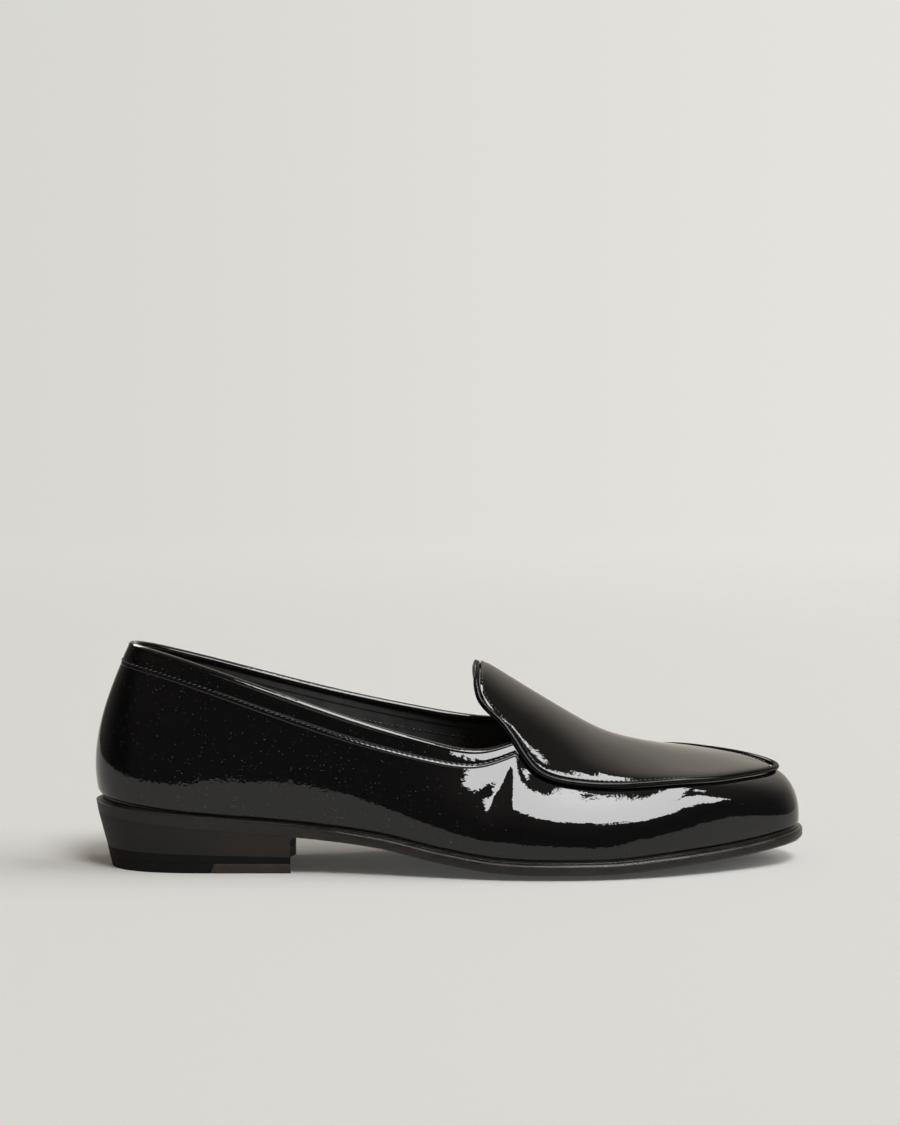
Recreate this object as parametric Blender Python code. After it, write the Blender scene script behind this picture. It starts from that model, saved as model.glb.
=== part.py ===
"""Right shoe of a pair: a low patent leather loafer with an inset apron, a standing tongue, a piped seam,
a folded topline band, a thin outsole and a tapered stacked heel.

Frame: metres, +X to the toe, +Z up, lateral side at -Y, the floor at z = 0.
"""
from collections import namedtuple
from math import pi, radians

import bmesh
import bpy
import numpy as np

# Driving dimensions
LENGTH = 0.2912
BALL_WIDTH = 0.098
BACK_HEIGHT = 0.0915
INSTEP_HEIGHT = 0.0829
HEEL_HEIGHT = 0.0227
TOE_SPRING = 0.0100
BALL_LIFT = 0.0022
WALL = 0.0020
GAP = 0.0003
OVERLAY = 0.0012

# The part's own origin is below the middle of the sole
CENTRE_X = 0.5 * LENGTH
CENTRE_Y = -0.0010

# Feather line: where the upper meets the sole
FEATHER_BACK = 0.0019
FEATHER_TOE = 0.2898
FEATHER_RUN = FEATHER_TOE - FEATHER_BACK
HEEL_RADIUS = 0.028
TOE_RADIUS = 0.028
Plan = namedtuple("Plan", "section along lateral medial")
PLAN = (
    Plan("heel", 0.13, 0.300, 0.275),
    Plan("waist", 0.36, 0.350, 0.235),
    Plan("joint", 0.55, 0.470, 0.370),
    Plan("ball", 0.67, 0.500, 0.470),
    Plan("toes", 0.84, 0.392, 0.422),
    Plan("cap", 0.95, 0.230, 0.260),
)

# Lower edge of the outsole above the floor, as shares of the heel height, the ball lift and the toe spring
Shank = namedtuple("Shank", "section along heel ball toe crown")
SHANK = (
    Shank("seat back", 0.00, 1.000, 0.0, 0.00, 0.0),
    Shank("seat", 0.12, 0.855, 0.0, 0.00, 0.0),
    Shank("breast", 0.28, 0.688, 0.0, 0.00, 0.0),
    Shank("waist", 0.39, 0.521, 0.0, 0.00, 0.2),
    Shank("shank end", 0.48, 0.278, 0.0, 0.00, 0.6),
    Shank("joint", 0.56, 0.000, 1.3, 0.00, 1.0),
    Shank("tread back", 0.61, 0.000, 1.0, 0.00, 1.0),
    Shank("tread front", 0.70, 0.000, 1.0, 0.00, 1.0),
    Shank("toes", 0.82, 0.000, 0.0, 0.425, 1.0),
    Shank("cap", 0.91, 0.000, 0.0, 0.640, 0.9),
    Shank("tip", 1.00, 0.000, 0.0, 1.000, 0.7),
)
TREAD_FLAT = 0.5

# Side of the outsole from the tread to the rand that the upper stands on: insets in the forepart and in the
# heel seat, where the side is flush with the heel
SOLE_EDGE = 0.0016
SEAT_FRONT = 0.0840
SEAT_FADE = 0.0300
Step = namedtuple("Step", "section inset seat height")
SOLE_SIDE = (
    Step("tread rim", 0.0014, 0.0008, 0.0000),
    Step("lower round", 0.0004, 0.0007, 0.0005),
    Step("lower belly", 0.0000, 0.0005, 0.0015),
    Step("upper belly", 0.0000, 0.0002, 0.0032),
    Step("shoulder", 0.0005, 0.0001, 0.0042),
    Step("ledge", 0.0014, 0.0005, 0.0046),
    Step("rand foot", 0.0026, 0.0026, 0.0046),
    Step("rand top", 0.0026, 0.0026, 0.0056),
)
SOLE_TOP = SOLE_SIDE[-1].height

# Apron and tongue: stations from tip to apex, heights of the ridge, half widths, crown and tilt across
APRON_TIP = 0.2802
APRON_APEX = 0.15805
TIP_RADIUS = 0.008
APEX_RADII = (0.110, 0.060)
Apron = namedtuple("Apron", "section along height lateral medial crown tilt")
APRON = (
    Apron("tip", 0.0000, 0.467, None, None, 0.80, 0.065),
    Apron("toe bend", 0.0986, 0.497, 0.178, 0.190, 0.80, 0.065),
    Apron("toe", 0.1971, 0.523, 0.273, 0.255, 0.85, 0.065),
    Apron("vamp", 0.2957, 0.547, 0.325, 0.292, 0.95, 0.065),
    Apron("ball", 0.4534, 0.594, 0.338, 0.305, 1.80, 0.060),
    Apron("lower instep", 0.5914, 0.656, 0.341, 0.315, 2.90, 0.050),
    Apron("instep", 0.7294, 0.768, 0.333, 0.312, 4.10, 0.030),
    Apron("tongue", 0.8674, 0.893, 0.252, 0.238, 4.70, 0.010),
    Apron("tongue end", 0.9463, 0.966, 0.198, 0.178, 5.70, 0.000),
    Apron("tongue tip", 0.9749, 0.990, 0.166, 0.144, 6.20, 0.000),
    Apron("apex", 1.0000, 1.005, None, None, 6.60, 0.000),
)
APRON_INSET = 0.0012
APRON_TOE_MARGIN = 0.019
APRON_TONGUE_MARGIN = 0.004

# Collar from the back to the throat
COLLAR_BACK = 0.0147
COLLAR_RADIUS = 0.0150
Collar = namedtuple("Collar", "section along lateral medial lateral_height medial_height")
COLLAR = (
    Collar("back", 0.00, None, None, 1.000, 1.000),
    Collar("back bend", 0.06, 0.130, 0.130, 0.975, 0.971),
    Collar("counter", 0.20, 0.235, 0.220, 0.907, 0.899),
    Collar("quarter", 0.40, 0.300, 0.262, 0.791, 0.800),
    Collar("side", 0.60, 0.326, 0.283, 0.676, 0.712),
    Collar("low side", 0.80, 0.330, 0.292, 0.578, 0.642),
    Collar("throat side", 0.92, 0.312, 0.292, 0.550, 0.612),
)

# Wall of the upper: lean at the feather and at the top, and how far each lean reaches up or down
Wall = namedtuple("Wall", "section along low_lean top_lean low_reach top_reach")
WALL_SHAPE = (
    Wall("back", 0.00, 16.0, 25.0, 0.33, 0.33),
    Wall("counter", 0.10, 11.0, 12.0, 0.28, 0.33),
    Wall("waist", 0.35, 16.0, 5.0, 0.32, 0.34),
    Wall("throat", 0.55, 9.0, 27.0, 0.38, 0.34),
    Wall("joint", 0.62, 8.0, 30.0, 0.41, 0.31),
    Wall("ball", 0.70, 3.0, 43.0, 0.50, 0.33),
    Wall("vamp", 0.76, 5.5, 50.0, 0.47, 0.44),
    Wall("toes", 0.84, 15.0, 48.0, 0.40, 0.41),
    Wall("tip", 1.00, 5.0, 62.0, 0.42, 0.34),
)

# Topline band, piping and insole
BAND_WIDTH = 0.0085
BAND_END = 0.98
BAND_SLACK = 0.0003
BAND_SEARCH = 0.55
BAND_SAMPLES = 46
PIPING_WIDE = 0.0015
PIPING_TALL = 0.0013
PIPING_LEAN = radians(24.0)
PIPING_TURN = radians(22.0)
PIPING_SINK = 0.0004
INSOLE_THICK = 0.0020
INSOLE_INSET = WALL + 0.0007

# Heel: tapered stack with a hollow breast, rubber lift and a two-piece tip
HEEL_TOP_INSET = 0.0008
HEEL_TAPER = 0.0056
BREAST_LATERAL = 0.0795
BREAST_MEDIAL = 0.0825
BREAST_HOLLOW = 0.0040
LIFT_TOP = 0.0068
LIFT_RISE = 0.0018
LIFT_MIDDLE = LIFT_TOP + 0.5 * LIFT_RISE
LIFT_SPLIT = 0.0041
TIP_SPLIT = 0.0480

# Facets
TURNS = 80
THROAT_COLUMN = 22
WALL_ROWS = 8
ACROSS = 10
TONGUE_ROWS = 6
SOLE_ACROSS = 6
PIPING_SIDES = 8
HEEL_POINTS = 14
BREAST_POINTS = 6
BREAST_RUNGS = 2
HEEL_RING = 2 * HEEL_POINTS + BREAST_POINTS

HALF_TURNS = TURNS // 2
SEAM_ROWS = HALF_TURNS - THROAT_COLUMN
THROAT_TURN = 2 * pi * THROAT_COLUMN / TURNS

# Angles round the apron: along the seam to the throat, up the tongue to its corner, over its end
THROAT = radians(129.2)
TONGUE_CORNER = radians(156.0)
SEAM_ANGLES = np.linspace(0.0, THROAT, SEAM_ROWS + 1)
TONGUE_ANGLES = np.linspace(THROAT, TONGUE_CORNER, TONGUE_ROWS + 1)[1:]
END_ANGLES = np.linspace(TONGUE_CORNER, pi, ACROSS // 2 + 1)[1:]

# Small steps for slopes, in turns or shares and in metres, and the angle from which an edge is sharp
NUDGE = 1e-3
NUDGE_OFF = 1e-4
SHARP = radians(38.0)


def column(table, name):
    """One named column of a table, without empty cells, as an array."""
    return np.array([getattr(row, name) for row in table if getattr(row, name) is not None], float)


def cubic(knots, values, at, level=False):
    """Cubic spline with an even bend through the values; its ends are straight, or level if asked."""
    knots, values, at = (np.asarray(item, float) for item in (knots, values, at))
    gap = np.diff(knots)
    rise = np.diff(values) / gap
    count = len(knots)
    system = np.eye(count)
    right = np.zeros(count)
    if level:
        system[0, :2] = 2 * gap[0], gap[0]
        system[-1, -2:] = gap[-1], 2 * gap[-1]
        right[0] = 6 * rise[0]
        right[-1] = -6 * rise[-1]
    for i in range(1, count - 1):
        system[i, i - 1:i + 2] = gap[i - 1], 2 * (gap[i - 1] + gap[i]), gap[i]
        right[i] = 6 * (rise[i] - rise[i - 1])
    bend = np.linalg.solve(system, right)
    i = np.clip(np.searchsorted(knots, at) - 1, 0, count - 2)
    done, left, span = at - knots[i], knots[i + 1] - at, gap[i]
    curve = (bend[i] * left ** 3 + bend[i + 1] * done ** 3) / (6 * span)
    start = (values[i] / span - bend[i] * span / 6) * left
    end = (values[i + 1] / span - bend[i + 1] * span / 6) * done
    return curve + start + end


def steady(knots, values, at):
    """Smooth curve through the values that never swings past them."""
    knots, values, at = (np.asarray(item, float) for item in (knots, values, at))
    gap = np.diff(knots)
    rise = np.diff(values) / gap
    slope = np.zeros(len(knots))
    for i in range(1, len(knots) - 1):
        if rise[i - 1] * rise[i] > 0:
            near, far = 2 * gap[i] + gap[i - 1], gap[i] + 2 * gap[i - 1]
            slope[i] = (near + far) / (near / rise[i - 1] + far / rise[i])
    slope[0], slope[-1] = rise[0], rise[-1]
    i = np.clip(np.searchsorted(knots, at) - 1, 0, len(knots) - 2)
    t = (at - knots[i]) / gap[i]
    level = values[i] * (1 + 2 * t) * (1 - t) ** 2 + values[i + 1] * t * t * (3 - 2 * t)
    lean = slope[i] * t * (1 - t) ** 2 - slope[i + 1] * t * t * (1 - t)
    return level + gap[i] * lean


def turn_of(share):
    """Angle of a half turn at which a rounded outline has gone this share of its run."""
    return np.arccos(1 - 2 * np.asarray(share, float))


def share_of(turn):
    """Share of the run at this angle of the half turn."""
    return 0.5 * (1 - np.cos(turn))


def rounded(shares, halves, start_radius, end_radius, run, turn):
    """Half width of an outline with round ends, through the given half widths."""
    knots = turn_of(shares)
    swell = np.concatenate(([(start_radius * run / 2) ** 0.5], halves / np.sin(knots),
                            [(end_radius * run / 2) ** 0.5]))
    return cubic(np.concatenate(([0.0], knots, [pi])), swell, turn, level=True) * np.sin(turn)


def sides(turn):
    """Half-turn angle, and -1 on the lateral or +1 on the medial side."""
    turn = np.asarray(turn, float) % (2 * pi)
    return np.where(turn <= pi, turn, 2 * pi - turn), np.where(turn <= pi, -1.0, 1.0)


def plan(turn):
    """Feather line in plan: heel at 0, lateral side, toe at half a turn, medial side."""
    half, side = sides(turn)
    along = column(PLAN, "along")
    wide = [rounded(along, BALL_WIDTH * column(PLAN, name), HEEL_RADIUS, TOE_RADIUS, FEATHER_RUN, half)
            for name in ("lateral", "medial")]
    return FEATHER_BACK + FEATHER_RUN * share_of(half), np.where(side < 0, -wide[0], wide[1])


def outward(turn):
    """Level unit vector that points out of the feather line."""
    x_back, y_back = plan(turn - NUDGE)
    x_on, y_on = plan(turn + NUDGE)
    run = np.hypot(x_on - x_back, y_on - y_back)
    return (y_on - y_back) / run, (x_back - x_on) / run


def sole_edge(x):
    """Height of the outsole's lower edge."""
    share = np.clip((np.asarray(x, float) - FEATHER_BACK) / FEATHER_RUN, 0, 1)
    height = (HEEL_HEIGHT * column(SHANK, "heel") + BALL_LIFT * column(SHANK, "ball")
              + TOE_SPRING * column(SHANK, "toe"))
    return steady(column(SHANK, "along"), height, share)


def tread(x, across):
    """Underside of the outsole: flat in the middle, rising to its edge in the forepart."""
    share = np.clip((np.asarray(x, float) - FEATHER_BACK) / FEATHER_RUN, 0, 1)
    crown = BALL_LIFT * steady(column(SHANK, "along"), column(SHANK, "crown"), share)
    rise = np.clip((np.abs(across) - TREAD_FLAT) / (1 - TREAD_FLAT), 0, 1) ** 2
    return sole_edge(x) - crown * (1 - rise)


def ridge(share):
    """Middle line of the apron and tongue, in the upper's own surface under the overlay."""
    x = APRON_TIP + (APRON_APEX - APRON_TIP) * share
    return x, cubic(column(APRON, "along"), INSTEP_HEIGHT * column(APRON, "height"), share) - OVERLAY


def apron_at(share, off):
    """Apron surface at a share of its ridge and a distance off the ridge, in sections square to it."""
    share, off = np.asarray(share, float), np.asarray(off, float)
    x, z = ridge(share)
    x_back, z_back = ridge(share + NUDGE)
    x_on, z_on = ridge(share - NUDGE)
    run = np.hypot(x_on - x_back, z_on - z_back)
    up_x, up_z = (z_back - z_on) / run, (x_on - x_back) / run
    along = column(APRON, "along")
    crown = cubic(along, column(APRON, "crown"), share) / BALL_WIDTH
    fall = 0.5 * crown * off ** 2 - cubic(along, column(APRON, "tilt"), share) * off
    return np.stack([x - up_x * fall, off, z - up_z * fall], -1)


def apron_half(turn, side):
    """Half width of the apron round its outline; tip at 0, apex of the tongue at half a turn."""
    along = np.array([row.along for row in APRON if row.lateral is not None])
    run = APRON_TIP - APRON_APEX
    wide = [rounded(along, BALL_WIDTH * column(APRON, name), TIP_RADIUS, radius, run, turn)
            for name, radius in zip(("lateral", "medial"), APEX_RADII)]
    return np.where(np.asarray(side) < 0, wide[0], wide[1])


def apron(turn, across):
    """Apron surface; across runs from -1 at the lateral seam to +1 at the medial seam."""
    return apron_at(share_of(turn), across * apron_half(turn, across))


def apron_lines():
    """Rows of the apron from tip to tongue end, as shares of the ridge and distances off it.

    Up to the throat a row is a straight section in step with the wall's columns. On the tongue the rows
    bend more and more, until the last one is the tongue's own end.
    """
    across = np.linspace(-1.0, 1.0, ACROSS + 1)
    lines = [(np.zeros(1), np.zeros(1))]
    for angle in SEAM_ANGLES[1:]:
        turn = np.full(ACROSS + 1, angle)
        lines.append((share_of(turn), across * apron_half(turn, across)))
    end = pi - (pi - TONGUE_CORNER) * np.abs(across)
    corner = np.full(ACROSS + 1, TONGUE_CORNER)
    end_off = np.sign(across) * apron_half(end, across) / apron_half(corner, across)
    for k, angle in enumerate(TONGUE_ANGLES):
        bent = (k + 1) / TONGUE_ROWS
        turn = np.full(ACROSS + 1, angle)
        share = share_of(turn) + bent ** 2 * (share_of(end) - share_of(TONGUE_CORNER))
        spread = (1 - bent) * across + bent * end_off
        lines.append((share, spread * apron_half(turn, across)))
    return lines


def collar(along, side):
    """Topline of the upper's wall from the back to the throat on one side."""
    along = np.asarray(along, float)
    end = apron(np.array(THROAT), np.array(float(side)))
    name = "lateral" if side < 0 else "medial"
    root = np.sqrt(np.append(column(COLLAR, "along"), 1.0))
    run = end[0] - COLLAR_BACK
    halves = np.append(BALL_WIDTH * column(COLLAR, name), abs(end[1]))
    swell = np.append((2 * COLLAR_RADIUS * run) ** 0.5, halves / root[1:])
    heights = np.append(BACK_HEIGHT * column(COLLAR, name + "_height"), end[2])
    at = np.sqrt(along)
    wide = cubic(root, swell, at) * at
    return np.stack([COLLAR_BACK + run * along, side * wide, cubic(root, heights, at)], -1)


def top_edge(turn):
    """Upper edge of the wall: the topline behind the throat, the apron seam before it."""
    half, side = sides(turn)
    along = np.clip((1 - np.cos(half)) / (1 - np.cos(THROAT_TURN)), 0, 1)
    topline = np.where(side[..., None] < 0, collar(along, -1), collar(along, 1))
    seam = apron(np.clip(THROAT * (pi - half) / (pi - THROAT_TURN), 0, pi), side)
    return np.where((half < THROAT_TURN)[..., None], topline, seam)


def wall(turn, up):
    """Outer surface of the wall: a cubic from the feather line (up = 0) to the upper edge (up = 1)."""
    half, _ = sides(turn)
    x, y = plan(turn)
    foot = np.stack([x, y, sole_edge(x) + SOLE_TOP + GAP], -1)
    head = top_edge(turn)
    out_x, out_y = outward(turn)
    out = np.stack([out_x, out_y, 0 * out_x], -1)
    rise = np.array([0.0, 0.0, 1.0])
    knots = turn_of(column(WALL_SHAPE, "along"))
    low, top, low_reach, top_reach = (
        cubic(knots, column(WALL_SHAPE, name), half, level=True)[..., None]
        for name in ("low_lean", "top_lean", "low_reach", "top_reach"))
    span = np.linalg.norm(head - foot, axis=-1, keepdims=True)
    low_pull = foot + span * low_reach * (np.sin(np.radians(low)) * out + np.cos(np.radians(low)) * rise)
    top_pull = head + span * top_reach * (np.sin(np.radians(top)) * out - np.cos(np.radians(top)) * rise)
    up = np.asarray(up, float)[..., None]
    down = 1 - up
    return down ** 3 * foot + 3 * up * down ** 2 * low_pull + 3 * up ** 2 * down * top_pull + up ** 3 * head


def unit(vectors):
    """Vectors scaled to length one."""
    return vectors / np.linalg.norm(vectors, axis=-1, keepdims=True)


def to_frame(points):
    """Points moved from the heel's back to the part's own origin."""
    return np.asarray(points, float) - np.array([CENTRE_X, CENTRE_Y, 0.0])


def material(name, colour, roughness, metallic=0.0):
    """Principled material with a plain colour."""
    made = bpy.data.materials.new(name)
    made.use_nodes = True
    shader = made.node_tree.nodes["Principled BSDF"]
    shader.inputs["Base Color"].default_value = (*colour, 1.0)
    shader.inputs["Roughness"].default_value = roughness
    shader.inputs["Metallic"].default_value = metallic
    return made


def solid(name, points, faces, finish, orient=True):
    """Object with the given points and faces, its faces turned outward."""
    mesh = bpy.data.meshes.new(name)
    mesh.from_pydata([tuple(point) for point in to_frame(points)], [], faces)
    made = bmesh.new()
    made.from_mesh(mesh)
    if orient:
        bmesh.ops.recalc_face_normals(made, faces=made.faces)
    made.to_mesh(mesh)
    made.free()
    mesh.shade_smooth()
    mesh.set_sharp_from_angle(angle=SHARP)
    mesh.materials.append(finish)
    body = bpy.data.objects.new(name, mesh)
    bpy.context.scene.collection.objects.link(body)
    return body


def thicken(body, thickness, offset):
    """Give a sheet its thickness: offset -1 inward, +1 outward."""
    layer = body.modifiers.new("thickness", "SOLIDIFY")
    layer.thickness = thickness
    layer.offset = offset
    layer.use_even_offset = True
    layer.use_quality_normals = True
    return body


def sheet_rows(rows):
    """Faces between rows of point numbers; a row of one point closes in a fan."""
    faces = []
    for low, high in zip(rows[:-1], rows[1:]):
        for i in range(max(len(low), len(high)) - 1):
            if len(low) == 1:
                faces.append((high[i], low[0], high[i + 1]))
            elif len(high) == 1:
                faces.append((high[0], low[i], low[i + 1]))
            else:
                faces.append((high[i], low[i], low[i + 1], high[i + 1]))
    return faces


def build_upper(finish):
    """Hollow upper: the wall all round, closed above by apron and tongue, open at collar and underneath."""
    turns = 2 * pi * np.arange(TURNS) / TURNS
    rows = np.linspace(0.0, 1.0, WALL_ROWS + 1)
    turn, up = np.meshgrid(turns, rows, indexing="ij")
    points = list(wall(turn, up).reshape(-1, 3))
    stride = WALL_ROWS + 1
    faces = []
    for i in range(TURNS):
        here, there = i * stride, (i + 1) % TURNS * stride
        faces += [(here + j, there + j, there + j + 1, here + j + 1) for j in range(WALL_ROWS)]
    lines = [[HALF_TURNS * stride + WALL_ROWS]]
    for k, (share, off) in enumerate(apron_lines()[1:], 1):
        numbers = []
        for i, point in enumerate(apron_at(share, off)):
            if k <= SEAM_ROWS and i in (0, ACROSS):
                side = HALF_TURNS - k if i == 0 else HALF_TURNS + k
                numbers.append(side * stride + WALL_ROWS)
            else:
                numbers.append(len(points))
                points.append(point)
        lines.append(numbers)
    faces += sheet_rows(lines)
    return thicken(solid("upper", points, faces, finish, orient=False), WALL, -1.0)


def build_apron(finish):
    """Apron and tongue face: a leather overlay on the upper's own surface, drawn in from its seam."""
    points, lines = [], []
    for share, off in apron_lines():
        inner = APRON_TOE_MARGIN + (1 - APRON_TOE_MARGIN - APRON_TONGUE_MARGIN) * share
        edge = np.where(off < 0, -off[0], off[-1])
        row = apron_at(inner, off * (1 - APRON_INSET / np.maximum(edge, APRON_INSET)))
        lines.append(list(range(len(points), len(points) + len(row))))
        points += list(row)
    body = solid("apron", points, sheet_rows(lines), finish, orient=False)
    raised = bmesh.new()
    raised.from_mesh(body.data)
    raised.normal_update()
    for corner in raised.verts:
        corner.co += corner.normal * GAP
    raised.to_mesh(body.data)
    raised.free()
    return thicken(body, OVERLAY - GAP, 1.0)


def ring_solid(name, rings, finish, low_cap=None, high_cap=None):
    """Solid from rings of equal length, closed by the faces of its two caps."""
    count = len(rings[0])
    points = [point for ring in rings for point in ring]
    faces = []
    for level in range(len(rings) - 1):
        base = level * count
        faces += [(base + i, base + (i + 1) % count, base + count + (i + 1) % count, base + count + i)
                  for i in range(count)]
    for base, cap in ((0, low_cap), ((len(rings) - 1) * count, high_cap)):
        if cap is None:
            faces.append(tuple(range(base, base + count)))
        else:
            added, cap_faces = cap(base, len(points))
            points += added
            faces += cap_faces
    return solid(name, points, faces, finish)


def rungs(ring, base, first, height):
    """Cap of a full ring: straight rungs at the given height from side to side, fans at heel and toe."""
    across = np.linspace(-1.0, 1.0, SOLE_ACROSS + 1)
    added, lines = [], [[base + HALF_TURNS]]
    for k in range(1, HALF_TURNS):
        lateral, medial = ring[HALF_TURNS - k], ring[HALF_TURNS + k]
        numbers = [base + HALF_TURNS - k]
        for q in across[1:-1]:
            spot = lateral + (medial - lateral) * (q + 1) / 2
            numbers.append(first + len(added))
            added.append(np.array([spot[0], spot[1], height(spot[0], q)]))
        lines.append(numbers + [base + HALF_TURNS + k])
    lines.append([base])
    return added, sheet_rows(lines)


def sole_ring(inset, seat, height):
    """Ring round the sole at a height over its lower edge, with one inset before and one in the heel seat."""
    turns = 2 * pi * np.arange(TURNS) / TURNS
    x, y = plan(turns)
    out_x, out_y = outward(turns)
    fade = np.clip((x - SEAT_FRONT) / SEAT_FADE, 0, 1)
    grow = SOLE_EDGE - seat - (inset - seat) * fade ** 2 * (3 - 2 * fade)
    return np.stack([x + out_x * grow, y + out_y * grow, sole_edge(x) + height], -1)


def build_outsole(finish):
    """Outsole: rounded edge, ledge and inset rand; crowned forepart, flat in the tread's middle."""
    rings = [sole_ring(step.inset, step.seat, step.height) for step in SOLE_SIDE]
    return ring_solid(
        "outsole", rings, finish,
        low_cap=lambda base, first: rungs(rings[0], base, first, tread),
        high_cap=lambda base, first: rungs(rings[-1], base, first, lambda x, q: sole_edge(x) + SOLE_TOP))


def build_insole(finish):
    """Insole board and sock on the sole, inside the wall."""
    levels = (SOLE_TOP + GAP, SOLE_TOP + GAP + INSOLE_THICK)
    inset = SOLE_EDGE + INSOLE_INSET
    rings = [sole_ring(inset, inset, level) for level in levels]
    return ring_solid(
        "insole", rings, finish,
        low_cap=lambda base, first: rungs(rings[0], base, first, lambda x, q: sole_edge(x) + levels[0]),
        high_cap=lambda base, first: rungs(rings[1], base, first, lambda x, q: sole_edge(x) + levels[1]))


def band_section(turn):
    """Closed section of the folded topline band round the wall's edge at one place."""
    up = np.linspace(BAND_SEARCH, 1.0, BAND_SAMPLES)
    line = wall(np.full(up.shape, turn), up)
    beside = wall(np.full(up.shape, turn + NUDGE), up)
    rise = unit(np.gradient(line, axis=0))
    out = unit(np.cross(beside - line, rise))
    length = np.concatenate(([0.0], np.cumsum(np.linalg.norm(np.diff(line, axis=0), axis=1))))
    depth = length[-1] - length

    def at(down, off, over=0.0):
        place = np.array([np.interp(-down, -depth, line[:, i]) for i in range(3)])
        normal = np.array([np.interp(-down, -depth, out[:, i]) for i in range(3)])
        return place + normal * off + rise[-1] * over

    half = 0.5 * BAND_WIDTH
    inside = -WALL - BAND_SLACK
    section = [at(BAND_WIDTH, OVERLAY), at(half, OVERLAY), at(0.0, OVERLAY)]
    section += [at(0.0, 0.5 * OVERLAY, OVERLAY), at(0.0, inside - 0.5 * OVERLAY, OVERLAY)]
    section += [at(0.0, inside - OVERLAY), at(half, inside - OVERLAY), at(BAND_WIDTH, inside - OVERLAY)]
    over = GAP + BAND_SLACK
    section += [at(BAND_WIDTH, inside - GAP), at(half, inside - GAP), at(0.0, inside - GAP, over)]
    section += [at(0.0, GAP, over), at(half, GAP), at(BAND_WIDTH, GAP)]
    return section


def build_band(finish):
    """Topline band from throat to throat round the back."""
    last = BAND_END * THROAT_TURN
    whole = 2 * pi * np.arange(1, THROAT_COLUMN) / TURNS
    places = np.concatenate((whole[whole < last - pi / TURNS], [last]))
    places = np.concatenate((-places[::-1], [0.0], places))
    rings = [band_section(place % (2 * pi)) for place in places]
    return ring_solid("topline_band", rings, finish)


def edge_frame(angle, side):
    """Apron's edge with its run (tip, lateral, apex, medial), surface normal and outward direction."""
    spots = []
    for at in (angle - NUDGE, angle + NUDGE):
        past = at < 0 or at > pi
        at = pi - abs(pi - abs(at))
        spots.append(apron(np.array(at), np.array(-side if past else side)))
    run = unit(spots[1] - spots[0]) * -side
    share = float(share_of(angle))
    off = side * float(apron_half(np.array(angle), np.array(side)))
    to_apex = apron_at(share + NUDGE, off) - apron_at(share - NUDGE, off)
    to_medial = apron_at(share, off + NUDGE_OFF) - apron_at(share, off - NUDGE_OFF)
    normal = unit(np.cross(to_medial, to_apex))
    return apron_at(share, off), run, normal, unit(np.cross(normal, run))


def build_piping(finish):
    """Piping in the apron seam that goes on as the binding of the tongue's edge."""
    angles = np.concatenate((SEAM_ANGLES, TONGUE_ANGLES, END_ANGLES))
    loop = [(angle, -1.0) for angle in angles] + [(angle, 1.0) for angle in angles[-2:0:-1]]
    spin = 2 * pi * np.arange(PIPING_SIDES)[:, None] / PIPING_SIDES
    points = []
    for angle, side in loop:
        edge, run, normal, outer = edge_frame(angle, side)
        free = float(np.clip((angle - THROAT) / PIPING_TURN, 0, 1))
        lean = PIPING_LEAN + (0.5 * pi - PIPING_LEAN) * free
        push = np.cos(lean) * normal + np.sin(lean) * outer
        middle = edge + push * (PIPING_TALL + GAP) - normal * PIPING_SINK * free
        across = np.cross(push, run)
        points += list(middle + PIPING_TALL * np.cos(spin) * push + PIPING_WIDE * np.sin(spin) * across)
    count = len(loop)
    faces = []
    for i in range(count):
        here, there = i * PIPING_SIDES, (i + 1) % count * PIPING_SIDES
        faces += [(here + j, there + j, there + (j + 1) % PIPING_SIDES, here + (j + 1) % PIPING_SIDES)
                  for j in range(PIPING_SIDES)]
    return solid("apron_piping", points, faces, finish)


def heel_ring(height, inset):
    """Ring round the heel at one inset: lateral corner, back, medial corner, then the hollow breast."""
    reach = [turn_of((at - FEATHER_BACK) / FEATHER_RUN) for at in (BREAST_LATERAL, BREAST_MEDIAL)]
    turns = np.concatenate((np.linspace(reach[0], 0.0, HEEL_POINTS, endpoint=False),
                            np.linspace(0.0, -reach[1], HEEL_POINTS + 1)))
    x, y = plan(turns)
    out_x, out_y = outward(turns)
    grow = SOLE_EDGE - inset
    side = np.stack([x + out_x * grow, y + out_y * grow], -1)
    part = np.linspace(0.0, 1.0, BREAST_POINTS + 1)[1:-1, None]
    breast = side[-1] + (side[0] - side[-1]) * part
    breast[:, :1] -= 4 * BREAST_HOLLOW * part * (1 - part)
    ring = np.concatenate((side, breast))
    return np.column_stack((ring, height(ring[:, 0])))


def heel_cap(base, _):
    """Cap of a heel ring: rungs across to the start of the breast, one face at the breast."""
    last = 2 * HEEL_POINTS
    faces = [(base + i, base + last - i, base + last - i - 1, base + i + 1)
             for i in range(BREAST_RUNGS, HEEL_POINTS - 1)]
    faces.append((base + HEEL_POINTS - 1, base + HEEL_POINTS + 1, base + HEEL_POINTS))
    front = [base + i for i in range(BREAST_RUNGS, -1, -1)]
    front += [base + i for i in range(HEEL_RING - 1, last - BREAST_RUNGS - 1, -1)]
    faces.append(tuple(front))
    return [], faces


def lift_foot(x):
    """Foot of the lift, level on the tip."""
    return LIFT_SPLIT + GAP + 0 * x


def lift_top(x):
    """Top of the lift, which thickens to the back."""
    return LIFT_TOP + LIFT_RISE * (1 - x / BREAST_LATERAL)


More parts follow.
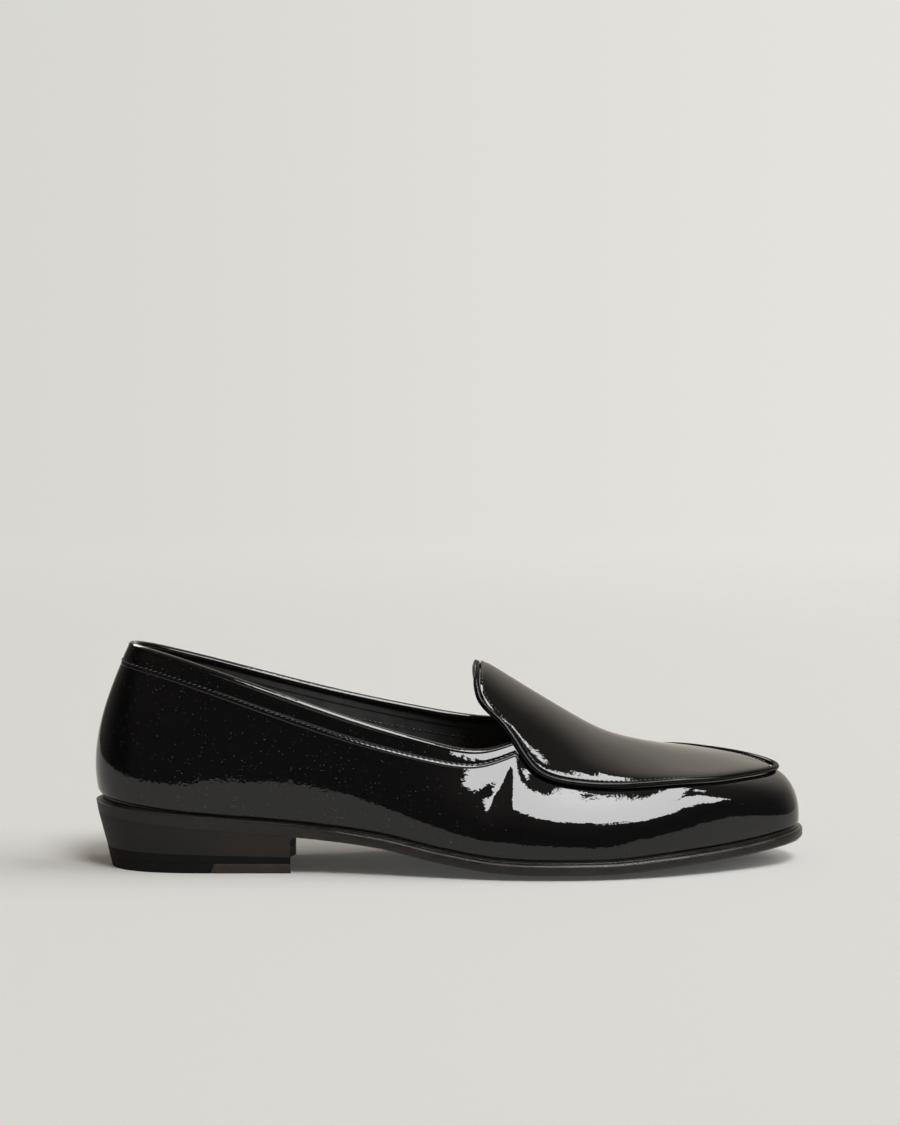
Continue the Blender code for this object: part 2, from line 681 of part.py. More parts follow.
def heel_layer(name, low, high, span, finish, levels=1):
    """Layer of the heel between two heights along the shoe, tapered like the whole heel over its span."""
    rings = []
    for share in np.linspace(0.0, 1.0, levels + 1):
        middle = span[0] + (span[1] - span[0]) * share
        inset = HEEL_TOP_INSET + HEEL_TAPER * (1 - middle / HEEL_HEIGHT)
        rings.append(heel_ring(lambda x, s=share: low(x) + (high(x) - low(x)) * s, inset))
    return ring_solid(name, rings, finish, low_cap=heel_cap, high_cap=heel_cap)


def heel_tip(name, finish, place, keep_back):
    """One part of the tip: the layer on the floor, cut across at a place along the shoe."""
    tip = heel_layer(name, lambda x: 0 * x, lambda x: LIFT_SPLIT + 0 * x, (0.0, LIFT_SPLIT), finish)
    return cut_at(tip, place, keep_back)


def cut_at(body, place, keep_back):
    """Cut a heel layer square across at a place along the shoe and keep one part."""
    made = bmesh.new()
    made.from_mesh(body.data)
    cut = bmesh.ops.bisect_plane(
        made, geom=made.verts[:] + made.edges[:] + made.faces[:], plane_co=(place - CENTRE_X, 0.0, 0.0),
        plane_no=(1.0, 0.0, 0.0), clear_outer=keep_back, clear_inner=not keep_back)
    edges = [item for item in cut["geom_cut"] if isinstance(item, bmesh.types.BMEdge)]
    bmesh.ops.holes_fill(made, edges=edges)
    bmesh.ops.recalc_face_normals(made, faces=made.faces)
    made.to_mesh(body.data)
    made.free()
    return body


def main():
    """Build every piece of the shoe."""
    for old in list(bpy.data.objects):
        bpy.data.objects.remove(old)
    patent = material("black patent leather", (0.004, 0.004, 0.005), 0.08)
    apron_patent = material("black patent apron leather", (0.004, 0.004, 0.005), 0.08)
    band_patent = material("black patent band leather", (0.005, 0.005, 0.006), 0.10)
    cord = material("black piping leather", (0.012, 0.012, 0.012), 0.45)
    sock = material("black lining leather", (0.010, 0.010, 0.010), 0.60)
    sole = material("black sole leather", (0.018, 0.017, 0.016), 0.45)
    stack = material("dark stacked heel leather", (0.026, 0.022, 0.020), 0.50)
    rubber = material("black lift rubber", (0.014, 0.014, 0.014), 0.60)
    tip_rubber = material("black heel tip rubber", (0.014, 0.014, 0.014), 0.65)
    tip_leather = material("brown heel tip leather", (0.040, 0.030, 0.025), 0.60)

    build_upper(patent)
    build_apron(apron_patent)
    build_band(band_patent)
    build_piping(cord)
    build_insole(sock)
    build_outsole(sole)
    heel_layer("heel_stack", lambda x: lift_top(x) + GAP, lambda x: sole_edge(x) - GAP,
               (LIFT_MIDDLE + GAP, HEEL_HEIGHT), stack, levels=3)
    heel_layer("heel_lift", lift_foot, lift_top, (LIFT_SPLIT + GAP, LIFT_MIDDLE), rubber)
    heel_tip("heel_tip_rear", tip_rubber, TIP_SPLIT - 0.5 * GAP, True)
    heel_tip("heel_tip_front", tip_leather, TIP_SPLIT + 0.5 * GAP, False)


main()
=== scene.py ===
"""Looks of one right patent leather loafer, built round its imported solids.

Every surface is a numpy grid in the shoe's own frame: metres, +X to the toe, +Z up, lateral side at -Y.
The form of the last is repeated here from the part's source, and the pieces are laid on it.
"""
import logging
from collections.abc import Callable
from dataclasses import dataclass, field
from enum import Enum
from math import cos, pi, radians, sin
from typing import NamedTuple

import bmesh
import bpy
import numpy as np
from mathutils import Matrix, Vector

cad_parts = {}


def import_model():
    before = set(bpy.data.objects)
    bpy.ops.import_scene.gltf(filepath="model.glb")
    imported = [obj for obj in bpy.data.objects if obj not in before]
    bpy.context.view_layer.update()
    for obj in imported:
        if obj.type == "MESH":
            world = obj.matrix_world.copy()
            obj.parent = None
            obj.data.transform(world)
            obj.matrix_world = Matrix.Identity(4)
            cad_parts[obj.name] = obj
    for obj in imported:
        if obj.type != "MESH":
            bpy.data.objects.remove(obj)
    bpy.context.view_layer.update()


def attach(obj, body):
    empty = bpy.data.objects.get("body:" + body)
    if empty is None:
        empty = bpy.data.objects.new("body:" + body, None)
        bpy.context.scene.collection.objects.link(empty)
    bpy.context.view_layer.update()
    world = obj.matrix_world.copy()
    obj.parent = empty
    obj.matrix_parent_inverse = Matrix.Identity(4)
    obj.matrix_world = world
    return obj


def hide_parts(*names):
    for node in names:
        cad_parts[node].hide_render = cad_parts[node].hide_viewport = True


Array = np.ndarray
Material = bpy.types.Material
Object = bpy.types.Object
Tree = bpy.types.NodeTree
Node = bpy.types.Node
Socket = bpy.types.NodeSocket
Height = Callable[[Array], Array]

LOG = logging.getLogger("loafer")
BODY = "root"
MM = 0.001
# Metres within which points are welded and slivers dissolved
WELD = 2e-6
SLIVER = 1e-6
# Degrees past which an edge stays sharp: on solid pieces, sheets and thread
SHARP = 40.0
SHEET_SHARP = 60.0
THREAD_SHARP = 80.0
# Points across a cap that is hidden and needs no shape
FLAT_ACROSS = 3


class Side(Enum):
    """The two sides of the shoe, with the sign of Y on each."""

    LATERAL = -1.0
    MEDIAL = 1.0


# Tables of the last, a row for each section


class PlanRow(NamedTuple):
    """Half widths of the feather line, as shares of the ball width."""

    section: str
    along: float
    lateral: float
    medial: float


class ShankRow(NamedTuple):
    """Lower edge of the sole, as shares of heel height, ball lift and toe spring, and its crown."""

    section: str
    along: float
    heel: float
    ball: float
    toe: float
    crown: float


class ApronRow(NamedTuple):
    """Ridge height, half widths, crown and tilt of the apron."""

    section: str
    along: float
    height: float
    lateral: float | None
    medial: float | None
    crown: float
    tilt: float


class CollarRow(NamedTuple):
    """Half widths and heights of the topline."""

    section: str
    along: float
    lateral: float | None
    medial: float | None
    lateral_height: float
    medial_height: float


class WallRow(NamedTuple):
    """Lean of the wall in degrees at the feather and at the top, and the reach of each lean."""

    section: str
    along: float
    low_lean: float
    top_lean: float
    low_reach: float
    top_reach: float


PLAN = (
    PlanRow("heel", 0.13, 0.300, 0.275),
    PlanRow("waist", 0.36, 0.350, 0.235),
    PlanRow("joint", 0.55, 0.470, 0.370),
    PlanRow("ball", 0.67, 0.500, 0.470),
    PlanRow("toes", 0.84, 0.392, 0.422),
    PlanRow("cap", 0.95, 0.230, 0.260),
)
SHANK = (
    ShankRow("seat back", 0.00, 1.000, 0.0, 0.00, 0.0),
    ShankRow("seat", 0.12, 0.855, 0.0, 0.00, 0.0),
    ShankRow("breast", 0.28, 0.688, 0.0, 0.00, 0.0),
    ShankRow("waist", 0.39, 0.521, 0.0, 0.00, 0.2),
    ShankRow("shank end", 0.48, 0.278, 0.0, 0.00, 0.6),
    ShankRow("joint", 0.56, 0.000, 1.3, 0.00, 1.0),
    ShankRow("tread back", 0.61, 0.000, 1.0, 0.00, 1.0),
    ShankRow("tread front", 0.70, 0.000, 1.0, 0.00, 1.0),
    ShankRow("toes", 0.82, 0.000, 0.0, 0.425, 1.0),
    ShankRow("cap", 0.91, 0.000, 0.0, 0.640, 0.9),
    ShankRow("tip", 1.00, 0.000, 0.0, 1.000, 0.7),
)
APRON = (
    ApronRow("tip", 0.0000, 0.467, None, None, 0.80, 0.065),
    ApronRow("toe bend", 0.0986, 0.497, 0.178, 0.190, 0.80, 0.065),
    ApronRow("toe", 0.1971, 0.523, 0.273, 0.255, 0.85, 0.065),
    ApronRow("vamp", 0.2957, 0.547, 0.325, 0.292, 0.95, 0.065),
    ApronRow("ball", 0.4534, 0.594, 0.338, 0.305, 1.80, 0.060),
    ApronRow("lower instep", 0.5914, 0.656, 0.341, 0.315, 2.90, 0.050),
    ApronRow("instep", 0.7294, 0.768, 0.333, 0.312, 4.10, 0.030),
    ApronRow("tongue", 0.8674, 0.893, 0.252, 0.238, 4.70, 0.010),
    ApronRow("tongue end", 0.9463, 0.966, 0.198, 0.178, 5.70, 0.000),
    ApronRow("tongue tip", 0.9749, 0.990, 0.166, 0.144, 6.20, 0.000),
    ApronRow("apex", 1.0000, 1.005, None, None, 6.60, 0.000),
)
COLLAR = (
    CollarRow("back", 0.00, None, None, 1.000, 1.000),
    CollarRow("back bend", 0.06, 0.130, 0.130, 0.975, 0.971),
    CollarRow("counter", 0.20, 0.235, 0.220, 0.907, 0.899),
    CollarRow("quarter", 0.40, 0.300, 0.262, 0.791, 0.800),
    CollarRow("side", 0.60, 0.326, 0.283, 0.676, 0.712),
    CollarRow("low side", 0.80, 0.330, 0.292, 0.578, 0.642),
    CollarRow("throat side", 0.92, 0.312, 0.292, 0.550, 0.612),
)
WALL_SHAPE = (
    WallRow("back", 0.00, 16.0, 25.0, 0.33, 0.33),
    WallRow("counter", 0.10, 11.0, 12.0, 0.28, 0.33),
    WallRow("waist", 0.35, 16.0, 5.0, 0.32, 0.34),
    WallRow("throat", 0.55, 9.0, 27.0, 0.38, 0.34),
    WallRow("joint", 0.62, 8.0, 30.0, 0.41, 0.31),
    WallRow("ball", 0.70, 3.0, 43.0, 0.50, 0.33),
    WallRow("vamp", 0.76, 5.5, 50.0, 0.47, 0.44),
    WallRow("toes", 0.84, 15.0, 48.0, 0.40, 0.41),
    WallRow("tip", 1.00, 5.0, 62.0, 0.42, 0.34),
)


# Curves


def column(table: tuple[NamedTuple, ...], name: str) -> Array:
    """Read one named column of a table.

    Args:
        table: rows with named fields.
        name: the field to read; empty cells are skipped.

    Returns:
        The column as an array.
    """
    return np.array([getattr(row, name) for row in table if getattr(row, name) is not None], float)


def cubic(knots: Array, values: Array, at: Array, level: bool = False) -> Array:
    """Cubic spline with an even bend: second slopes solve the usual three-term system.

    Args:
        knots: rising places of the values.
        values: what the curve passes through.
        at: places to read, of any shape.
        level: whether the ends are level instead of straight.

    Returns:
        The curve at those places.
    """
    gap = np.diff(knots)
    rise = np.diff(values) / gap
    count = len(knots)
    inner = np.arange(1, count - 1)
    system = np.eye(count)
    right = np.zeros(count)
    system[inner, inner - 1] = gap[:-1]
    system[inner, inner] = 2 * (gap[:-1] + gap[1:])
    system[inner, inner + 1] = gap[1:]
    right[inner] = 6 * np.diff(rise)
    if level:
        system[0, :2] = 2 * gap[0], gap[0]
        system[-1, -2:] = gap[-1], 2 * gap[-1]
        right[0], right[-1] = 6 * rise[0], -6 * rise[-1]
    bend = np.linalg.solve(system, right)
    at = np.asarray(at, float)
    i = np.clip(np.searchsorted(knots, at) - 1, 0, count - 2)
    done, left, span = at - knots[i], knots[i + 1] - at, gap[i]
    curve = (bend[i] * left ** 3 + bend[i + 1] * done ** 3) / (6 * span)
    start = (values[i] / span - bend[i] * span / 6) * left
    end = (values[i + 1] / span - bend[i + 1] * span / 6) * done
    return curve + start + end


def steady(knots: Array, values: Array, at: Array) -> Array:
    """Curve of cubic pieces that never swings past its values: slopes are harmonic means.

    Args:
        knots: rising places of the values.
        values: what the curve passes through.
        at: places to read, of any shape.

    Returns:
        The curve at those places.
    """
    gap = np.diff(knots)
    rise = np.diff(values) / gap
    near, far = 2 * gap[1:] + gap[:-1], gap[1:] + 2 * gap[:-1]
    before, after = rise[:-1], rise[1:]
    same = before * after > 0
    mean = (near + far) / (near / np.where(same, before, 1.0) + far / np.where(same, after, 1.0))
    slope = np.concatenate(([rise[0]], np.where(same, mean, 0.0), [rise[-1]]))
    at = np.asarray(at, float)
    i = np.clip(np.searchsorted(knots, at) - 1, 0, len(knots) - 2)
    t = (at - knots[i]) / gap[i]
    level = values[i] * (1 + 2 * t) * (1 - t) ** 2 + values[i + 1] * t * t * (3 - 2 * t)
    lean = slope[i] * t * (1 - t) ** 2 - slope[i + 1] * t * t * (1 - t)
    return level + gap[i] * lean


def turn_of(share: Array) -> Array:
    """Angle of a half turn at which a rounded outline has gone this share of its run."""
    return np.arccos(1 - 2 * np.asarray(share, float))


def share_of(turn: Array) -> Array:
    """Share of the run at this angle of the half turn."""
    return 0.5 * (1 - np.cos(turn))


def full_turn(count: int) -> Array:
    """Angles of one full turn at even steps, from 0 on."""
    return 2 * pi * np.arange(count) / count


def ease(value: Array) -> Array:
    """Soft step from 0 to 1 while the value goes from 0 to 1."""
    held = np.clip(value, 0.0, 1.0)
    return held * held * (3 - 2 * held)


def bell(distance: Array, width: Array | float) -> Array:
    """Soft bump of height 1: e to the minus square of distance over width."""
    return np.exp(-(distance / width) ** 2)


def unit(vectors: Array) -> Array:
    """Vectors scaled to length one."""
    return vectors / np.linalg.norm(vectors, axis=-1, keepdims=True)


def rounded(shares: Array, halves: Array, radii: tuple[float, float], run: float, turn: Array) -> Array:
    """Half width of an outline with round ends: a spline of the swell, times the sine of the turn.

    Args:
        shares: places along the run.
        halves: half widths there.
        radii: radius of the outline at its start and at its end.
        run: length of the outline.
        turn: half-turn angles to read.

    Returns:
        The half widths at those angles.
    """
    knots = turn_of(shares)
    ends = [(radius * run / 2) ** 0.5 for radius in radii]
    swell = np.concatenate((ends[:1], halves / np.sin(knots), ends[1:]))
    return cubic(np.concatenate(([0.0], knots, [pi])), swell, turn, level=True) * np.sin(turn)


# Form of the last


@dataclass(frozen=True)
class Last:
    """Form that the shoe is made on: feather line, sole edge, apron, collar and wall as functions."""

    length: float = 0.2912
    ball_width: float = 0.098
    back_height: float = 0.0915
    instep_height: float = 0.0829
    heel_height: float = 0.0227
    toe_spring: float = 0.0100
    ball_lift: float = 0.0022
    tread_flat: float = 0.5
    centre_y: float = -0.0010
    feather_back: float = 0.0019
    feather_toe: float = 0.2898
    feather_radii: tuple[float, float] = (0.028, 0.028)
    sole_top: float = 0.0056
    gap: float = 0.0003
    overlay: float = 0.0012
    wall_thick: float = 0.0020
    apron_tip: float = 0.2802
    apron_apex: float = 0.15805
    tip_radius: float = 0.008
    apex_radii: tuple[float, float] = (0.110, 0.060)
    throat: float = radians(129.2)
    throat_turn: float = radians(99.0)
    tongue_corner: float = radians(156.0)
    collar_back: float = 0.0147
    collar_radius: float = 0.0150
    nudge: float = 1e-3
    nudge_off: float = 1e-4

    @property
    def feather_run(self) -> float:
        """Length of the feather line from heel to toe."""
        return self.feather_toe - self.feather_back

    def place(self, points: Array) -> Array:
        """Points moved from the heel's back to the part's own origin."""
        return points - np.array([0.5 * self.length, self.centre_y, 0.0])

    def sides(self, turn: Array) -> tuple[Array, Array]:
        """Half-turn angle, and -1 on the lateral or +1 on the medial side."""
        turn = np.asarray(turn, float) % (2 * pi)
        return np.where(turn <= pi, turn, 2 * pi - turn), np.where(turn <= pi, -1.0, 1.0)

    def plan(self, turn: Array) -> tuple[Array, Array]:
        """Feather line seen from above: heel at 0, lateral side, toe at half a turn, medial side.

        Args:
            turn: angles round the shoe.

        Returns:
            x and y of the line.
        """
        half, side = self.sides(turn)
        along = column(PLAN, "along")
        wide = [rounded(along, self.ball_width * column(PLAN, name), self.feather_radii,
                        self.feather_run, half)
                for name in ("lateral", "medial")]
        return self.feather_back + self.feather_run * share_of(half), np.where(side < 0, -wide[0], wide[1])

    def outward(self, turn: Array) -> tuple[Array, Array]:
        """Level unit vector that points out of the feather line: its slope turned a quarter.

        Args:
            turn: angles round the shoe.

        Returns:
            x and y of the vector.
        """
        x_back, y_back = self.plan(turn - self.nudge)
        x_on, y_on = self.plan(turn + self.nudge)
        run = np.hypot(x_on - x_back, y_on - y_back)
        return (y_on - y_back) / run, (x_back - x_on) / run

    def shank_share(self, x: Array) -> Array:
        """Share of the feather line's run at a place along the shoe."""
        return np.clip((np.asarray(x, float) - self.feather_back) / self.feather_run, 0, 1)

    def sole_edge(self, x: Array) -> Array:
        """Height of the outsole's lower edge above the floor.

        Args:
            x: places along the shoe.

        Returns:
            Heights there.
        """
        height = (self.heel_height * column(SHANK, "heel") + self.ball_lift * column(SHANK, "ball")
                  + self.toe_spring * column(SHANK, "toe"))
        return steady(column(SHANK, "along"), height, self.shank_share(x))

    def tread(self, x: Array, across: Array) -> Array:
        """Underside of the outsole: flat in the middle, rising to its edge by a square law.

        Args:
            x: places along the shoe.
            across: -1 at the lateral edge to +1 at the medial edge.

        Returns:
            Heights above the floor.
        """
        crown = self.ball_lift * steady(column(SHANK, "along"), column(SHANK, "crown"), self.shank_share(x))
        rise = np.clip((np.abs(across) - self.tread_flat) / (1 - self.tread_flat), 0, 1) ** 2
        return self.sole_edge(x) - crown * (1 - rise)

    def ridge(self, share: Array) -> tuple[Array, Array]:
        """Middle line of apron and tongue, under the overlay: x falls evenly, z is a spline.

        Args:
            share: places along the ridge, 0 at the tip and 1 at the apex.

        Returns:
            x and z of the line.
        """
        x = self.apron_tip + (self.apron_apex - self.apron_tip) * share
        z = cubic(column(APRON, "along"), self.instep_height * column(APRON, "height"), share)
        return x, z - self.overlay

    def apron_at(self, share: Array, off: Array) -> Array:
        """Apron surface in sections square to its ridge: a parabola across, plus a tilt.

        Args:
            share: places along the ridge, 0 at the tip and 1 at the apex.
            off: distances off the ridge, negative on the lateral side.

        Returns:
            Points of the surface.
        """
        x, z = self.ridge(share)
        x_back, z_back = self.ridge(share + self.nudge)
        x_on, z_on = self.ridge(share - self.nudge)
        run = np.hypot(x_on - x_back, z_on - z_back)
        up_x, up_z = (z_back - z_on) / run, (x_on - x_back) / run
        along = column(APRON, "along")
        crown = cubic(along, column(APRON, "crown"), share) / self.ball_width
        fall = 0.5 * crown * off ** 2 - cubic(along, column(APRON, "tilt"), share) * off
        return np.stack(np.broadcast_arrays(x - up_x * fall, off, z - up_z * fall), -1)

    def apron_half(self, turn: Array, side: Array) -> Array:
        """Half width of the apron round its outline; tip at 0, apex of the tongue at half a turn.

        Args:
            turn: half-turn angles to read.
            side: below 0 on the lateral side and above it on the medial side.

        Returns:
            The half widths.
        """
        along = np.array([row.along for row in APRON if row.lateral is not None])
        run = self.apron_tip - self.apron_apex
        wide = [rounded(along, self.ball_width * column(APRON, name), (self.tip_radius, radius), run, turn)
                for name, radius in zip(("lateral", "medial"), self.apex_radii)]
        return np.where(np.asarray(side) < 0, wide[0], wide[1])

    def apron(self, turn: Array, across: Array) -> Array:
        """Apron surface; across runs from -1 at the lateral seam to +1 at the medial seam."""
        return self.apron_at(share_of(turn), across * self.apron_half(turn, across))

    def collar(self, along: Array, side: Side) -> Array:
        """Topline from the back to the throat: spline of width over root, times root, and of height.

        Args:
            along: 0 at the back to 1 at the throat.
            side: which side of the shoe.

        Returns:
            Points of the topline.
        """
        end = self.apron(np.array(self.throat), np.array(side.value))
        name = side.name.lower()
        root = np.sqrt(np.append(column(COLLAR, "along"), 1.0))
        run = end[0] - self.collar_back
        halves = np.append(self.ball_width * column(COLLAR, name), abs(end[1]))
        swell = np.append((2 * self.collar_radius * run) ** 0.5, halves / root[1:])
        heights = np.append(self.back_height * column(COLLAR, name + "_height"), end[2])
        at = np.sqrt(along)
        wide = cubic(root, swell, at) * at
        return np.stack([self.collar_back + run * along, side.value * wide, cubic(root, heights, at)], -1)

    def top_edge(self, turn: Array) -> Array:
        """Upper edge of the wall: the topline behind the throat, the apron seam before it.

        Args:
            turn: angles round the shoe.

        Returns:
            Points of the edge.
        """
        half, side = self.sides(turn)
        along = np.clip((1 - np.cos(half)) / (1 - cos(self.throat_turn)), 0, 1)
        lateral, medial = (self.collar(along, which) for which in Side)
        topline = np.where(side[..., None] < 0, lateral, medial)
        seam_turn = np.clip(self.throat * (pi - half) / (pi - self.throat_turn), 0, pi)
        return np.where((half < self.throat_turn)[..., None], topline, self.apron(seam_turn, side))

    def wall(self, turn: Array, up: Array) -> Array:
        """Outer surface of the wall: a cubic from the feather line to the upper edge.

        Args:
            turn: angles round the shoe.
            up: 0 at the feather line to 1 at the upper edge; it broadcasts with turn.

        Returns:
            Points of the surface.
        """
        half, _ = self.sides(turn)
        x, y = self.plan(turn)
        foot = np.stack([x, y, self.sole_edge(x) + self.sole_top + self.gap], -1)
        head = self.top_edge(turn)
        out_x, out_y = self.outward(turn)
        out = np.stack([out_x, out_y, 0 * out_x], -1)
        rise = np.array([0.0, 0.0, 1.0])
        knots = turn_of(column(WALL_SHAPE, "along"))
        low, top, low_reach, top_reach = (
            cubic(knots, column(WALL_SHAPE, name), half, level=True)[..., None]
            for name in ("low_lean", "top_lean", "low_reach", "top_reach"))
        low, top = np.radians(low), np.radians(top)
        span = np.linalg.norm(head - foot, axis=-1, keepdims=True)
        low_pull = foot + span * low_reach * (np.sin(low) * out + np.cos(low) * rise)
        top_pull = head + span * top_reach * (np.sin(top) * out - np.cos(top) * rise)
        up = np.asarray(up, float)[..., None]
        down = 1 - up
        return (down ** 3 * foot + 3 * up * down ** 2 * low_pull
                + 3 * up ** 2 * down * top_pull + up ** 3 * head)

    def apron_edge(self, angle: Array, side: Array) -> tuple[Array, Array, Array, Array]:
        """Apron's edge with its own axes, for what runs along it.

        Args:
            angle: angles round the apron's outline, 0 at the tip to pi at the apex.
            side: -1 or +1 for each.

        Returns:
            Points, unit run (tip, lateral, apex, medial), unit normal and unit outward direction.
        """
        spots = []
        for at in (angle - self.nudge, angle + self.nudge):
            past = (at < 0) | (at > pi)
            spots.append(self.apron(pi - np.abs(pi - np.abs(at)), np.where(past, -side, side)))
        run = unit(spots[1] - spots[0]) * -side[:, None]
        share = share_of(angle)
        off = side * self.apron_half(angle, side)
        to_apex = self.apron_at(share + self.nudge, off) - self.apron_at(share - self.nudge, off)
        to_medial = self.apron_at(share, off + self.nudge_off) - self.apron_at(share, off - self.nudge_off)
        normal = unit(np.cross(to_medial, to_apex))
        return self.apron_at(share, off), run, normal, unit(np.cross(normal, run))


LAST = Last()


# Meshes from grids


def quads(rows: int, columns: int, wrap_rows: bool = False, wrap_columns: bool = False,
          first: int = 0) -> Array:
    """Quads of a grid whose points are numbered row by row; they face along row step times column step.

    Args:
        rows: number of rows.
        columns: points in a row.
        wrap_rows: whether the last row joins the first.
        wrap_columns: whether each row is a closed ring.
        first: number of the grid's first point.

    Returns:
        Point numbers, four to a face.
    """
    i = np.arange(rows if wrap_rows else rows - 1)[:, None]
    j = np.arange(columns if wrap_columns else columns - 1)[None, :]
    here, there = i * columns, (i + 1) % rows * columns
    after = (j + 1) % columns
    corners = np.broadcast_arrays(here + j, there + j, there + after, here + after)
    return first + np.stack(corners, -1).reshape(-1, 4)


def grid_normals(grid: Array, wrap_rows: bool = False) -> Array:
    """Unit normals of a grid: cross product of its steps along and across.

    Args:
        grid: points, rows by columns by 3.
        wrap_rows: whether the last row joins the first.

    Returns:
        A unit vector for each point.
    """
    along = np.roll(grid, -1, 0) - np.roll(grid, 1, 0) if wrap_rows else np.gradient(grid, axis=0)
    return unit(np.cross(along, np.gradient(grid, axis=1)))


def shell(outer: Array, inner: Array, wrap_rows: bool = False) -> tuple[Array, Array]:
    """Closed sheet between two grids of one shape: both faces and the rim that joins their edges.

    Args:
        outer: grid of the face that points out.
        inner: grid of the face behind it.
        wrap_rows: whether the last row joins the first.

    Returns:
        Points and quads.
    """
    rows, columns = outer.shape[:2]
    count = rows * columns
    numbers = np.arange(count).reshape(rows, columns)
    loops = [numbers[:, 0], numbers[::-1, -1]]
    if wrap_rows:
        loops = [np.append(loop, loop[0]) for loop in loops]
    else:
        loops += [numbers[0, ::-1], numbers[-1]]
    faces = [quads(rows, columns, wrap_rows), quads(rows, columns, wrap_rows, first=count)[:, ::-1]]
    faces += [np.stack([loop[1:], loop[:-1], loop[:-1] + count, loop[1:] + count], -1) for loop in loops]
    return np.concatenate((outer.reshape(-1, 3), inner.reshape(-1, 3))), np.concatenate(faces)


def join_grids(*grids: tuple[Array, bool, bool]) -> tuple[Array, list]:
    """Several grids as one mesh, to be welded where they meet.

    Args:
        grids: each grid, whether its last row joins the first, and whether its rows are closed rings.

    Returns:
        Points and faces.
    """
    points, faces, first = [], [], 0
    for grid, wrap_rows, wrap_columns in grids:
        rows, columns = grid.shape[:2]
        faces += quads(rows, columns, wrap_rows, wrap_columns, first).tolist()
        points.append(grid.reshape(-1, 3))
        first += rows * columns
    return np.concatenate(points), faces


def add_object(name: str, data: bpy.types.ID) -> Object:
    """Make an object and link it to the scene.

    Args:
        name: the object's name.
        data: its mesh, light or camera.

    Returns:
        The new object, at the origin.
    """
    made = bpy.data.objects.new(name, data)
    bpy.context.scene.collection.objects.link(made)
    return made


def add_piece(name: str, points: Array, faces: list, finish: Material, sharp: float = SHARP,
              weld: bool = False) -> Object:
    """Make an object from points in the last's frame.

    Args:
        name: the piece's name.
        points: its points.
        faces: lists of point numbers.
        finish: its material.
        sharp: edges that turn by more than this, in degrees, stay sharp.
        weld: whether points in one place are joined and the faces turned out again.

    Returns:
        The new object, at the origin.
    """
    mesh = bpy.data.meshes.new(name)
    mesh.from_pydata(LAST.place(points).tolist(), [], faces)
    if weld:
        made = bmesh.new()
        made.from_mesh(mesh)
        bmesh.ops.remove_doubles(made, verts=made.verts, dist=WELD)
        bmesh.ops.dissolve_degenerate(made, edges=made.edges, dist=SLIVER)
        bmesh.ops.recalc_face_normals(made, faces=made.faces)
        made.to_mesh(mesh)
        made.free()
    mesh.shade_smooth()
    mesh.set_sharp_from_angle(angle=radians(sharp))
    mesh.materials.append(finish)
    return add_object(name, mesh)


def add_sheet(name: str, outer: Array, inner: Array, finish: Material, wrap_rows: bool = False,
              weld: bool = False) -> Object:
    """Make an object from the closed sheet between two grids.

    Args:
        name: the piece's name.
        outer: grid of the face that points out.
        inner: grid of the face behind it.
        finish: its material.
        wrap_rows: whether the last row joins the first.
        weld: whether points in one place are joined.

    Returns:
        The new object, at the origin.
    """
    points, faces = shell(outer, inner, wrap_rows)
    return add_piece(name, points, faces.tolist(), finish, SHEET_SHARP, weld)


def hand_over(piece: Object, slot: str, node: str | None = None) -> None:
    """Let a piece ride on the shoe's body, hide the solid that it replaces and log its slot.

    Args:
        piece: the finished piece.
        slot: the record's material slot.
        node: the solid that it replaces, if any.
    """
    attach(piece, BODY)
    if node is not None:
        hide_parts(node)
    LOG.info("%s: %d faces, slot %s", piece.name, len(piece.data.polygons), slot)


